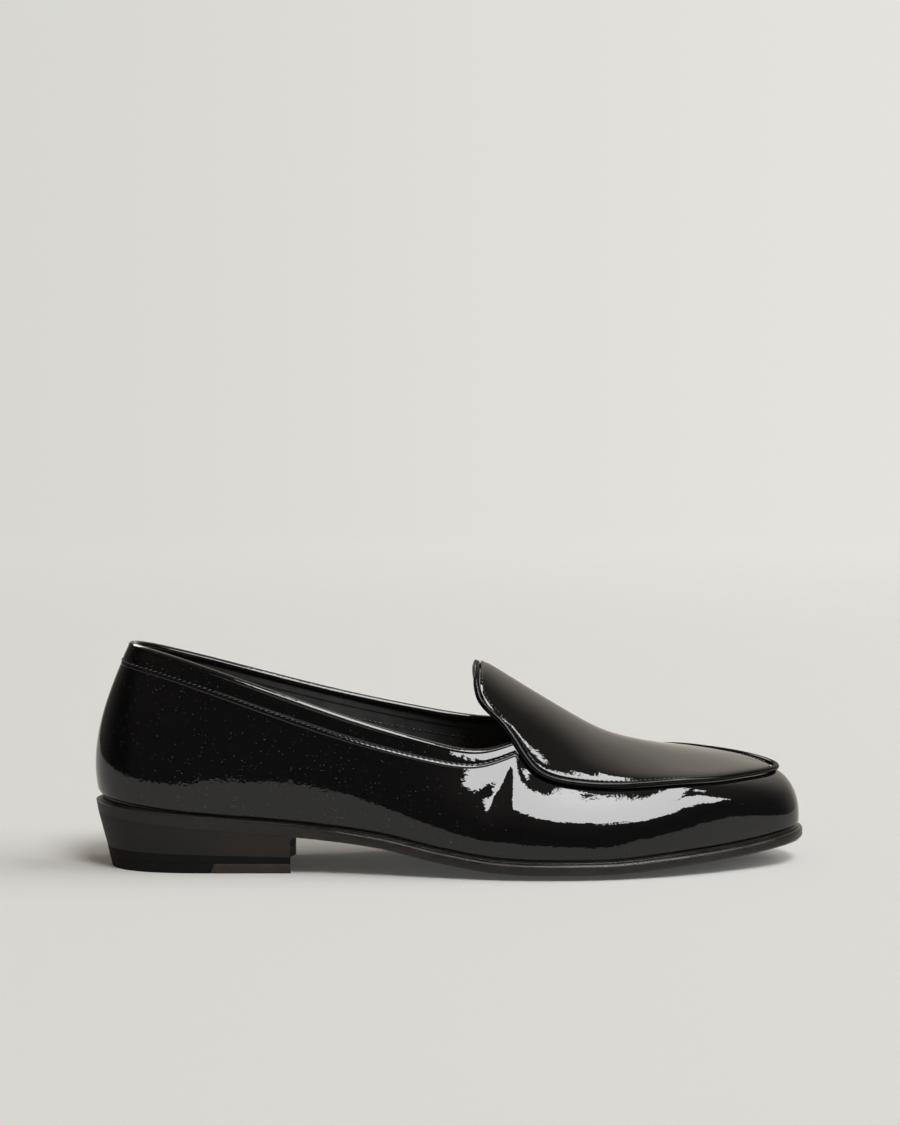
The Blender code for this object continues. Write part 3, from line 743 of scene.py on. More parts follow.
@dataclass(frozen=True)
class Stitch:
    """One sort of stitch: thread lengths on a path, sunk at both ends."""

    pitch: float = 2.25 * MM
    length: float = 1.75 * MM
    radius: float = 0.21 * MM
    slant: float = radians(24.0)
    sides: int = 6
    along: tuple[float, ...] = (-0.5, -0.44, -0.22, 0.22, 0.44, 0.5)
    thick: tuple[float, ...] = (0.25, 0.80, 1.0, 1.0, 0.80, 0.25)
    arch: tuple[float, ...] = (-1.3, -0.5, 0.25, 0.25, -0.5, -1.3)

    def row(self, path: Array, up: Array) -> tuple[Array, list]:
        """Stitches at even steps along a path: a capsule for each, arched over the leather.

        Args:
            path: points along the seam.
            up: unit vectors away from the leather.

        Returns:
            Points and faces of all the stitches together.
        """
        step = np.linalg.norm(np.diff(path, axis=0), axis=1)
        length = np.concatenate(([0.0], np.cumsum(step)))
        at = np.arange(0.5 * self.pitch, length[-1], self.pitch)
        middle, tall, run = (np.stack([np.interp(at, length, item[:, k]) for k in range(3)], -1)
                             for item in (path, unit(up), np.gradient(path, axis=0)))
        run = unit(run)
        beside = unit(np.cross(tall, run))
        run, beside = (cos(self.slant) * run + sin(self.slant) * beside,
                       cos(self.slant) * beside - sin(self.slant) * run)
        along = np.array(self.along) * self.length
        thick = np.array(self.thick)[:, None] * self.radius
        arch = np.array(self.arch)[:, None] * self.radius
        spin = full_turn(self.sides)
        shape = np.stack(np.broadcast_arrays(
            along[:, None], thick * np.cos(spin), arch + thick * np.sin(spin)), -1)
        axes = np.stack([run, beside, tall], 1)
        points = middle[:, None, :] + shape.reshape(-1, 3) @ axes
        each = len(along) * self.sides
        first = np.arange(len(at))[:, None, None] * each
        skin = (first + quads(len(along), self.sides, wrap_columns=True)[None]).reshape(-1, 4)
        ends = np.stack([np.arange(self.sides), each - 1 - np.arange(self.sides)])
        caps = (first + ends[None]).reshape(-1, self.sides)
        return points.reshape(-1, 3), skin.tolist() + caps.tolist()

    def sew(self, name: str, path: Array, up: Array, thread: Material, slot: str) -> None:
        """Make a row of stitches as one piece and hand it over.

        Args:
            name: the piece's name.
            path: points along the seam.
            up: unit vectors away from the leather.
            thread: the thread's material.
            slot: the record's material slot.
        """
        points, faces = self.row(path, up)
        hand_over(add_piece(name, points, faces, thread, THREAD_SHARP), slot)


# Finishes


def linear(colour: str) -> tuple[float, float, float, float]:
    """Turn an sRGB hex colour into linear values.

    Args:
        colour: such as "#1a1a1c".

    Returns:
        Linear red, green, blue and an alpha of 1.
    """
    parts = [int(colour[i:i + 2], 16) / 255 for i in (1, 3, 5)]
    red, green, blue = (part / 12.92 if part <= 0.04045 else ((part + 0.055) / 1.055) ** 2.4
                        for part in parts)
    return red, green, blue, 1.0


def add_node(tree: Tree, kind: str, inputs: dict | None = None, **settings: object) -> Node:
    """Add a node with its settings, values and links.

    Args:
        tree: the node tree.
        kind: the node's type name.
        inputs: for each input, by name or number, a value or another node's output.
        settings: attributes of the node.

    Returns:
        The new node.
    """
    node = tree.nodes.new(kind)
    for name, value in settings.items():
        setattr(node, name, value)
    for name, value in (inputs or {}).items():
        if isinstance(value, Socket):
            tree.links.new(value, node.inputs[name])
        else:
            node.inputs[name].default_value = value
    return node


def add_math(tree: Tree, operation: str, first: Socket, second: Socket | float) -> Socket:
    """Add a math node for two values.

    Args:
        tree: the node tree.
        operation: the operation's name.
        first: an output.
        second: an output or a constant.

    Returns:
        The result's output.
    """
    return add_node(tree, "ShaderNodeMath", {0: first, 1: second}, operation=operation).outputs[0]


def add_ramp(tree: Tree, value: Socket, over: tuple[float, float], ends: tuple,
             soft: bool = False) -> Socket:
    """Add a ramp that is held at both ends.

    Args:
        tree: the node tree.
        value: the output that it reads.
        over: where it starts and stops.
        ends: what it gives there, constants or outputs.
        soft: whether it eases in and out.

    Returns:
        The result's output.
    """
    names = ("Value", "From Min", "From Max", "To Min", "To Max")
    made = add_node(tree, "ShaderNodeMapRange", dict(zip(names, (value, *over, *ends))),
                    interpolation_type="SMOOTHSTEP" if soft else "LINEAR")
    return made.outputs["Result"]


def add_blend(tree: Tree, share: Socket, first: tuple | Socket, second: tuple | Socket) -> Socket:
    """Add a blend of two colours.

    Args:
        tree: the node tree.
        share: 0 for the first colour to 1 for the second.
        first: linear colour or output.
        second: linear colour or output.

    Returns:
        The result's output.
    """
    made = add_node(tree, "ShaderNodeMix", {"Factor": share, "A": first, "B": second}, data_type="RGBA")
    return made.outputs["Result"]


@dataclass(frozen=True)
class Finish:
    """What every finish shares: its name, main colour and roughness."""

    name: str
    colour: str
    roughness: float

    def start(self) -> tuple[Material, Tree, Node, Socket]:
        """Open a material with its plain values set.

        Returns:
            The material, its node tree, its shader and its Object coordinates.
        """
        made = bpy.data.materials.new(self.name)
        made.use_nodes = True
        tree = made.node_tree
        shader = tree.nodes["Principled BSDF"]
        shader.inputs["Base Color"].default_value = linear(self.colour)
        shader.inputs["Roughness"].default_value = self.roughness
        coords = add_node(tree, "ShaderNodeTexCoord").outputs["Object"]
        return made, tree, shader, coords


@dataclass(frozen=True)
class PatentLeather(Finish):
    """Patent calf: leather under a poured polyurethane film.

    The film gives mirror reflections whose borders wander, because it follows the leather's soft waves and
    dries with an orange peel of its own. A few specks of dust lie on it.
    """

    wave_mm: float = 9.0
    wave_depth_mm: float = 0.12
    peel_mm: float = 1.5
    peel_depth_mm: float = 0.030
    film: float = 1.0
    film_rough: float = 0.02
    dust: str = "#8f8a82"
    dust_mm: tuple[float, float] = (1.7, 1.1)
    speck_mm: tuple[float, float] = (0.12, 0.08)
    dust_share: float = 0.55
    dust_from: tuple[float, float] = (-0.03, 0.04)
    dust_toe: float = 0.2
    wave_detail: float = 1.0
    peel_detail: float = 1.5
    film_ior: float = 1.5

    def dust_mask(self, tree: Tree, coords: Socket) -> Socket:
        """Specks of two sizes: small discs round the points of two cell patterns, only in some cells.

        They lie mostly on the rear half: the share of cells falls to a fifth toward the toe.

        Args:
            tree: the node tree.
            coords: Object coordinates.

        Returns:
            1 on a speck and 0 elsewhere.
        """
        axes = add_node(tree, "ShaderNodeSeparateXYZ", {"Vector": coords})
        share = add_ramp(tree, axes.outputs["X"], self.dust_from,
                         (self.dust_share, self.dust_toe * self.dust_share))
        masks = []
        for apart, size in zip(self.dust_mm, self.speck_mm):
            cells = add_node(tree, "ShaderNodeTexVoronoi", {"Vector": coords, "Scale": 1 / (apart * MM)})
            near = add_math(tree, "LESS_THAN", cells.outputs["Distance"], size / apart)
            some = add_math(tree, "LESS_THAN", cells.outputs["Color"], share)
            masks.append(add_math(tree, "MULTIPLY", near, some))
        return add_math(tree, "MAXIMUM", *masks)

    def build(self) -> Material:
        """Build the node material.

        Returns:
            The finished material.
        """
        made, tree, shader, coords = self.start()
        wave = add_node(tree, "ShaderNodeTexNoise",
                        {"Vector": coords, "Scale": 1 / (self.wave_mm * MM), "Detail": self.wave_detail})
        peel = add_node(tree, "ShaderNodeTexNoise",
                        {"Vector": coords, "Scale": 1 / (self.peel_mm * MM), "Detail": self.peel_detail})
        soft = add_node(tree, "ShaderNodeBump",
                        {"Height": wave.outputs["Fac"], "Strength": 1.0, "Distance": self.wave_depth_mm * MM})
        film = add_node(tree, "ShaderNodeBump",
                        {"Height": peel.outputs["Fac"], "Strength": 1.0, "Distance": self.peel_depth_mm * MM,
                         "Normal": soft.outputs["Normal"]})
        colour = add_blend(tree, self.dust_mask(tree, coords), linear(self.colour), linear(self.dust))
        tree.links.new(colour, shader.inputs["Base Color"])
        tree.links.new(film.outputs["Normal"], shader.inputs["Normal"])
        tree.links.new(film.outputs["Normal"], shader.inputs["Coat Normal"])
        shader.inputs["Specular IOR Level"].default_value = 0.0
        shader.inputs["Coat Weight"].default_value = self.film
        shader.inputs["Coat Roughness"].default_value = self.film_rough
        shader.inputs["Coat IOR"].default_value = self.film_ior
        return made


@dataclass(frozen=True)
class GrainLeather(Finish):
    """Dyed leather with a printed grain: small rounded cells between fine furrows, and uneven colour.

    It gives a matte or satin black on which each cell catches a little light.
    """

    worn: str = "#2a2928"
    grain_mm: float = 0.9
    grain_depth_mm: float = 0.05
    mottle_mm: float = 7.0
    mottle_detail: float = 4.0
    worn_from: tuple[float, float] = (0.35, 0.75)
    gloss_from: tuple[float, float] = (0.3, 0.7)
    gloss_swing: tuple[float, float] = (-0.06, 0.08)
    specular: float = 0.5
    stretch: tuple[float, float, float] = (1.0, 1.0, 1.0)

    def build(self) -> Material:
        """Build the node material.

        Returns:
            The finished material.
        """
        made, tree, shader, coords = self.start()
        turned = add_node(tree, "ShaderNodeMapping", {"Vector": coords, "Scale": self.stretch})
        place = turned.outputs["Vector"]
        cells = add_node(tree, "ShaderNodeTexVoronoi",
                         {"Vector": place, "Scale": 1 / (self.grain_mm * MM)}, feature="SMOOTH_F1")
        noise = add_node(tree, "ShaderNodeTexNoise",
                         {"Vector": place, "Scale": 1 / (self.mottle_mm * MM), "Detail": self.mottle_detail})
        mottle = noise.outputs["Fac"]
        grain = add_node(tree, "ShaderNodeBump",
                         {"Height": cells.outputs["Distance"], "Strength": 1.0,
                          "Distance": self.grain_depth_mm * MM}, invert=True)
        share = add_ramp(tree, mottle, self.worn_from, (0.0, 1.0))
        colour = add_blend(tree, share, linear(self.colour), linear(self.worn))
        ends = tuple(self.roughness + swing for swing in self.gloss_swing)
        rough = add_ramp(tree, mottle, self.gloss_from, ends)
        tree.links.new(colour, shader.inputs["Base Color"])
        tree.links.new(rough, shader.inputs["Roughness"])
        tree.links.new(grain.outputs["Normal"], shader.inputs["Normal"])
        shader.inputs["Specular IOR Level"].default_value = self.specular
        return made


@dataclass(frozen=True)
class TwoToneLeather(GrainLeather):
    """Grained leather in one colour toward the heel's back and another before it, with its own gloss at the
    back.

    It gives the sole's seat the matte brown-black of the heel and leaves the forepart burnished. On the heel
    stack, the browner colour toward the breast is painted warm reflection.
    """

    back: str = "#201d1b"
    back_rough: float = 0.62
    turn: tuple[float, float] = (-0.068, -0.058)

    def build(self) -> Material:
        """Build the node material: the plain one, mixed with the rear dye by place along the shoe.

        Returns:
            The finished material.
        """
        made = super().build()
        tree = made.node_tree
        shader = tree.nodes["Principled BSDF"]
        coords = add_node(tree, "ShaderNodeTexCoord").outputs["Object"]
        axes = add_node(tree, "ShaderNodeSeparateXYZ", {"Vector": coords})
        # On the heel stack, the front colour that this blends to is painted warm reflection
        front = add_ramp(tree, axes.outputs["X"], self.turn, (0.0, 1.0))
        colour, rough = (shader.inputs[name].links[0].from_socket for name in ("Base Color", "Roughness"))
        dyed = add_blend(tree, front, linear(self.back), colour)
        gloss = add_ramp(tree, front, (0.0, 1.0), (self.back_rough, rough))
        tree.links.new(dyed, shader.inputs["Base Color"])
        tree.links.new(gloss, shader.inputs["Roughness"])
        return made


@dataclass(frozen=True)
class PaperFloor(Finish):
    """Matte studio paper: an even pale sheet that fades away far behind.

    Its emission is painted light, a little stronger to the right.
    """

    # Emission strengths at both ends of the ramp over X: painted light, stronger to the right
    painted_light: tuple[float, float] = (0.03, 0.09)
    painted_light_from: tuple[float, float] = (-0.25, 0.30)
    fade: tuple[float, float] = (0.75, 1.5)

    def build(self) -> Material:
        """Build the node material.

        Returns:
            The finished material.
        """
        made, tree, shader, coords = self.start()
        shader.inputs["Specular IOR Level"].default_value = 0.0
        shader.inputs["Emission Color"].default_value = linear(self.colour)
        axes = add_node(tree, "ShaderNodeSeparateXYZ", {"Vector": coords})
        # Painted light: the paper's emission grows from left to right
        painted_light = add_ramp(tree, axes.outputs["X"], self.painted_light_from, self.painted_light)
        tree.links.new(painted_light, shader.inputs["Emission Strength"])
        far = add_node(tree, "ShaderNodeVectorMath", {0: coords}, operation="LENGTH")
        solid = add_ramp(tree, far.outputs["Value"], self.fade, (1.0, 0.0), soft=True)
        tree.links.new(solid, shader.inputs["Alpha"])
        return made


@dataclass(frozen=True)
class Finishes:
    """The shoe's finishes, each built once."""

    patent: Material = field(default_factory=lambda: PatentLeather(
        "black patent calf, poured film", "#0d0d0e", 0.5).build())
    apron: Material = field(default_factory=lambda: PatentLeather(
        "black patent calf of the apron, poured film", "#0e0d0d", 0.5, wave_mm=14.0).build())
    band: Material = field(default_factory=lambda: PatentLeather(
        "black patent calf strip, folded", "#0d0d0e", 0.5, wave_mm=5.0, wave_depth_mm=0.08).build())
    piping: Material = field(default_factory=lambda: PatentLeather(
        "black patent calf piping, rolled", "#0e0e0f", 0.5, wave_mm=3.5, wave_depth_mm=0.06, peel_mm=0.8,
        peel_depth_mm=0.05, film=0.4, film_rough=0.14, dust_share=0.05).build())
    lining: Material = field(default_factory=lambda: GrainLeather(
        "black sheep lining, grained", "#363637", 0.55, worn="#454545", grain_mm=0.9,
        grain_depth_mm=0.05).build())
    thread: Material = field(default_factory=lambda: GrainLeather(
        "black polyester thread, waxed", "#2b2b2c", 0.18, worn="#3a3a3b", grain_mm=0.3,
        grain_depth_mm=0.02, specular=0.9).build())
    sole_edge: Material = field(default_factory=lambda: TwoToneLeather(
        "black dyed sole leather, burnished", "#16120f", 0.33, worn="#28211d", grain_mm=0.5,
        grain_depth_mm=0.09, stretch=(0.6, 0.6, 2.0), specular=0.4, back="#211d1b", back_rough=0.6).build())
    # Painted warm reflection: the stack's browner, lighter colour toward the breast stands in for warm light
    # mirrored there; the darker back is its own colour
    stack: Material = field(default_factory=lambda: TwoToneLeather(
        "brown-black stacked heel leather, dyed", "#2a2320", 0.62, worn="#332c29", grain_mm=0.6,
        grain_depth_mm=0.03, mottle_mm=9.0, stretch=(0.5, 0.5, 3.0), specular=0.3, back="#1f1c1a",
        back_rough=0.62, turn=(-0.11, -0.07)).build())
    lift: Material = field(default_factory=lambda: GrainLeather(
        "black heel lift rubber, ground", "#161617", 0.7, worn="#1c1c1c", grain_mm=0.4,
        grain_depth_mm=0.02, specular=0.1).build())
    tip: Material = field(default_factory=lambda: GrainLeather(
        "brown heel tip leather, trimmed", "#332c29", 0.7, worn="#473b35", grain_mm=0.5,
        grain_depth_mm=0.03, stretch=(0.6, 0.6, 3.0), specular=0.3).build())


# Pieces of the upper


class Crease(NamedTuple):
    """Soft trough (negative depth) or ridge on the wall along a few places, in shares and metres."""

    name: str
    side: Side
    along: tuple[float, ...]
    up: tuple[float, ...]
    depth: tuple[float, ...]
    width: tuple[float, ...]


@dataclass
class Upper:
    """Skirt of patent leather round the shoe, and the lining inside it."""

    finishes: Finishes
    turns: int = 560
    rows: int = 60
    lining_turns: int = 320
    lining_rows: int = 40
    skirt_thick: float = 0.9 * MM
    lining_gap: float = 1.0 * MM
    lining_top: float = 0.995
    crease_steps: int = 24
    heel_rand: float = 0.027
    heel_rand_turn: float = 0.52
    roll_height: float = 0.030
    roll_in: float = 0.5 * MM
    seam_roll: float = 0.45 * MM
    seam_reach: float = 3.5 * MM
    seam_start: float = radians(3.0)
    seam_end: float = radians(25.0)
    creases: tuple[Crease, ...] = (
        Crease("throat pull", Side.LATERAL, (0.568, 0.560, 0.549, 0.543), (0.765, 0.644, 0.524, 0.405),
               (-0.40 * MM, -0.75 * MM, -0.95 * MM, -0.50 * MM), (2.0 * MM, 3.6 * MM, 4.8 * MM, 5.4 * MM)),
        Crease("throat pull inside", Side.MEDIAL, (0.570, 0.560), (0.78, 0.50),
               (-0.30 * MM, -0.55 * MM), (2.0 * MM, 3.6 * MM)),
    )

    def low_edge(self, turn: Array) -> Array:
        """Share of the wall's height at which the skirt starts: a little up at the heel's back."""
        half, _ = LAST.sides(turn)
        return self.heel_rand * bell(half, self.heel_rand_turn)

    def relief(self, grid: Array) -> Array:
        """Listed creases: depth times a bell of the distance to the line, the deepest where they meet.

        Args:
            grid: points of the wall.

        Returns:
            Distances outward for each point.
        """
        part = np.linspace(0.0, 1.0, self.crease_steps)
        made = []
        for crease in self.creases:
            knots = np.linspace(0.0, 1.0, len(crease.along))
            along, up, depth, width = (np.interp(part, knots, item) for item in crease[2:])
            half = turn_of(along)
            line = LAST.wall(half if crease.side is Side.LATERAL else 2 * pi - half, up)
            far = np.linalg.norm(grid[..., None, :] - line, axis=-1)
            pull = depth * bell(far, width)
            made.append(np.where(depth.sum() < 0, pull.min(-1), pull.max(-1)))
        return np.clip(np.min(made, axis=0), None, 0) + np.clip(np.max(made, axis=0), 0, None)

    def skirt_grid(self) -> Array:
        """Outer face of the skirt: the wall, rolled in at its foot and under the piping, with its creases.

        Returns:
            Points, turns by rows by 3.
        """
        turn = full_turn(self.turns)[:, None]
        start = self.low_edge(turn)
        up = start + (1 - start) * np.linspace(0.0, 1.0, self.rows)
        grid = LAST.wall(turn, up)
        roll = np.clip(1 - (up - start) / self.roll_height, 0, 1) ** 2
        below = np.linalg.norm(grid - grid[:, -1:], axis=-1)
        half, _ = LAST.sides(turn)
        seam = ease((half - LAST.throat_turn) / self.seam_start)
        tuck = np.clip(1 - below / self.seam_reach, 0, 1) ** 2 * seam * ease((pi - half) / self.seam_end)
        lift = self.relief(grid) - self.roll_in * roll - self.seam_roll * tuck
        return grid + lift[..., None] * grid_normals(grid, wrap_rows=True)

    def build(self) -> None:
        """Build and dress the skirt and its lining."""
        outer = self.skirt_grid()
        normal = grid_normals(outer, wrap_rows=True)
        skirt = add_sheet("upper_skirt", outer, outer - self.skirt_thick * normal, self.finishes.patent,
                          wrap_rows=True)
        hand_over(skirt, "upper_patent", "upper")

        turn = full_turn(self.lining_turns)[:, None]
        wall = LAST.wall(turn, np.linspace(0.0, self.lining_top, self.lining_rows)[None])
        normal = grid_normals(wall, wrap_rows=True)
        lining = add_sheet("upper_lining", wall - self.lining_gap * normal, wall - LAST.wall_thick * normal,
                           self.finishes.lining, wrap_rows=True)
        hand_over(lining, "lining")


@dataclass
class Apron:
    """Inset plug that stands up as the tongue, its lining and the stitches along its binding."""

    finishes: Finishes
    across: int = 97
    seam_rows: int = 150
    tongue_rows: int = 70
    tip_start: float = 0.03
    inset: float = 1.2 * MM
    tongue_inset: float = -0.45 * MM
    tip_margin: float = 0.019
    apex_margin: float = 0.0003
    edge_fall: float = 0.12 * MM
    edge_reach: float = 0.5 * MM
    puff: float = 0.35 * MM
    puff_reach: float = 4.0 * MM
    puff_start: float = radians(50.0)
    puff_end: tuple[float, float] = (radians(100.0), radians(122.0))
    free_share: float = 0.5
    plug_back: float = 0.8 * MM
    lining_gap: float = 1.0 * MM
    lining_inset: float = 0.3 * MM
    stitch: Stitch = Stitch(pitch=1.95 * MM, length=1.35 * MM, radius=0.15 * MM, slant=0.0)
    stitch_inset: tuple[float, float] = (1.75 * MM, 0.75 * MM)
    stitch_start: float = radians(14.0)
    stitch_turn: float = radians(20.0)
    stitch_lift: float = 0.02 * MM
    stitch_columns: int = 420

    def lines(self) -> tuple[Array, Array]:
        """Rows from tip to tongue end: straight sections to the throat, then bending to the end's own curve.

        Returns:
            Shares of the ridge and distances off it, rows by points across.
        """
        spread = np.linspace(-1.0, 1.0, self.across)
        seam = np.linspace(self.tip_start, LAST.throat, self.seam_rows)[:, None]
        bent = np.linspace(0.0, 1.0, self.tongue_rows + 1)[1:, None]
        turn = LAST.throat + (LAST.tongue_corner - LAST.throat) * bent
        end = pi - (pi - LAST.tongue_corner) * np.abs(spread)
        corner = np.full(self.across, LAST.tongue_corner)
        end_off = np.sign(spread) * LAST.apron_half(end, spread) / LAST.apron_half(corner, spread)
        share = share_of(turn) + bent ** 2 * (share_of(end) - share_of(LAST.tongue_corner))
        off = ((1 - bent) * spread + bent * end_off) * LAST.apron_half(*np.broadcast_arrays(turn, spread))
        seam_off = spread * LAST.apron_half(*np.broadcast_arrays(seam, spread))
        seam_share = np.broadcast_to(share_of(seam), seam_off.shape)
        return np.concatenate((seam_share, share)), np.concatenate((seam_off, off))

    def drawn_in(self, share: Array, off: Array, inset: Array | float) -> tuple[Array, Array]:
        """Rows drawn in from the seam by an inset, and from tip and apex by their margins.

        Args:
            share: rows as shares of the ridge.
            off: their distances off it.
            inset: distance in from the seam.

        Returns:
            The same two for the rows drawn in.
        """
        edge = np.where(off < 0, -off[:, :1], off[:, -1:])
        inner = self.tip_margin + (1 - self.tip_margin - self.apex_margin) * share
        return inner, off * (1 - inset / np.maximum(edge, inset))

    def add_plug(self, share: Array, off: Array) -> None:
        """Build and dress the plug: drawn in under the piping, with a soft swell beside it.

        Args:
            share: rows as shares of the ridge.
            off: their distances off it.
        """
        rows = np.arange(len(share)) - self.seam_rows
        free = ease(rows / (self.free_share * self.tongue_rows))[:, None]
        inner, drawn = self.drawn_in(share, off, self.inset + (self.tongue_inset - self.inset) * free)
        base = LAST.apron_at(inner, drawn)[:, ::-1]
        normal = grid_normals(base)
        edge = np.where(drawn < 0, drawn - drawn[:, :1], drawn[:, -1:] - drawn)[:, ::-1]
        rise = LAST.overlay - self.edge_fall * np.exp(-np.abs(edge) / self.edge_reach)
        turn = turn_of(np.clip(share, 0, 1))
        low = 1 - ease((turn - self.puff_end[0]) / (self.puff_end[1] - self.puff_end[0]))
        near = np.abs(edge) / self.puff_reach
        rise = rise + self.puff * (low * ease(turn / self.puff_start))[:, ::-1] * near * np.exp(1 - near)
        plug = add_sheet("apron_plug", base + rise[..., None] * normal, base - self.plug_back * normal,
                         self.finishes.apron)
        hand_over(plug, "apron_patent", "apron")

    def add_lining(self, share: Array, off: Array) -> None:
        """Build and dress the lining behind the plug, on every other row and point.

        Args:
            share: rows as shares of the ridge.
            off: their distances off it.
        """
        inner, drawn = self.drawn_in(share[::2, ::2], off[::2, ::2], self.lining_inset)
        base = LAST.apron_at(inner, drawn)[:, ::-1]
        normal = grid_normals(base)
        lining = add_sheet("tongue_lining", base - self.lining_gap * normal, base - LAST.wall_thick * normal,
                           self.finishes.lining)
        hand_over(lining, "lining")

    def add_stitches(self) -> None:
        """Sew the row that follows the piping and the tongue's binding."""
        half = np.linspace(self.stitch_start, pi, self.stitch_columns)
        angle = np.concatenate((half, half[-2::-1]))
        side = np.concatenate((np.full(len(half), -1.0), np.full(len(half) - 1, 1.0)))
        edge, _, normal, outer = LAST.apron_edge(angle, side)
        free = ease((angle - LAST.throat) / self.stitch_turn)[:, None]
        inset = self.stitch_inset[0] + (self.stitch_inset[1] - self.stitch_inset[0]) * free
        path = edge - inset * outer + (LAST.overlay + self.stitch_lift) * normal
        self.stitch.sew("tongue_stitches", path, normal, self.finishes.thread, "apron_patent")

    def build(self) -> None:
        """Build and dress plug, tongue lining and stitches."""
        share, off = self.lines()
        self.add_plug(share, off)
        self.add_lining(share, off)
        self.add_stitches()


@dataclass
class Piping:
    """Cord in the apron seam that runs on as the flat binding of the tongue's edge."""

    finishes: Finishes
    loop: int = 760
    sides: int = 22
    wide: float = 1.22 * MM
    tall: float = 1.15 * MM
    lean: float = radians(24.0)
    tip_turn: float = radians(35.0)
    turn_over: float = radians(27.0)
    sink: float = 0.4 * MM
    seam_power: float = 2.0
    binding_power: float = 3.4

    def build(self) -> None:
        """Build and dress the cord: a ring that goes from round on the seam to squarish on the tongue."""
        half = self.loop // 2
        angle = pi * np.arange(half + 1) / half
        angles = np.concatenate((angle, angle[-2:0:-1]))
        side = np.concatenate((np.full(half + 1, -1.0), np.full(half - 1, 1.0)))
        edge, run, normal, outer = LAST.apron_edge(angles, side)
        free = ease((angles - LAST.throat) / self.turn_over)[:, None]
        seam_lean = self.lean * ease(angles / self.tip_turn)[:, None]
        lean = seam_lean + (0.5 * pi - seam_lean) * free
        push = np.cos(lean) * normal + np.sin(lean) * outer
        middle = edge + push * (self.tall + LAST.gap) - normal * self.sink * free
        beside = np.cross(push, run)
        spin = full_turn(self.sides)
        power = 2 / (self.seam_power + (self.binding_power - self.seam_power) * free)
        high = np.sign(np.cos(spin)) * np.abs(np.cos(spin)) ** power * self.tall
        broad = np.sign(np.sin(spin)) * np.abs(np.sin(spin)) ** power * self.wide
        points = middle[:, None] + high[..., None] * push[:, None] + broad[..., None] * beside[:, None]
        faces = quads(len(angles), self.sides, True, True).tolist()
        cord = add_piece("piping_cord", points.reshape(-1, 3), faces, self.finishes.piping, weld=True)
        hand_over(cord, "piping", "apron_piping")


class BandRow(NamedTuple):
    """Width, thickness and stitch groove of the topline band at a share of its run from back to throat."""

    section: str
    along: float
    width: float
    thick: float
    groove: float


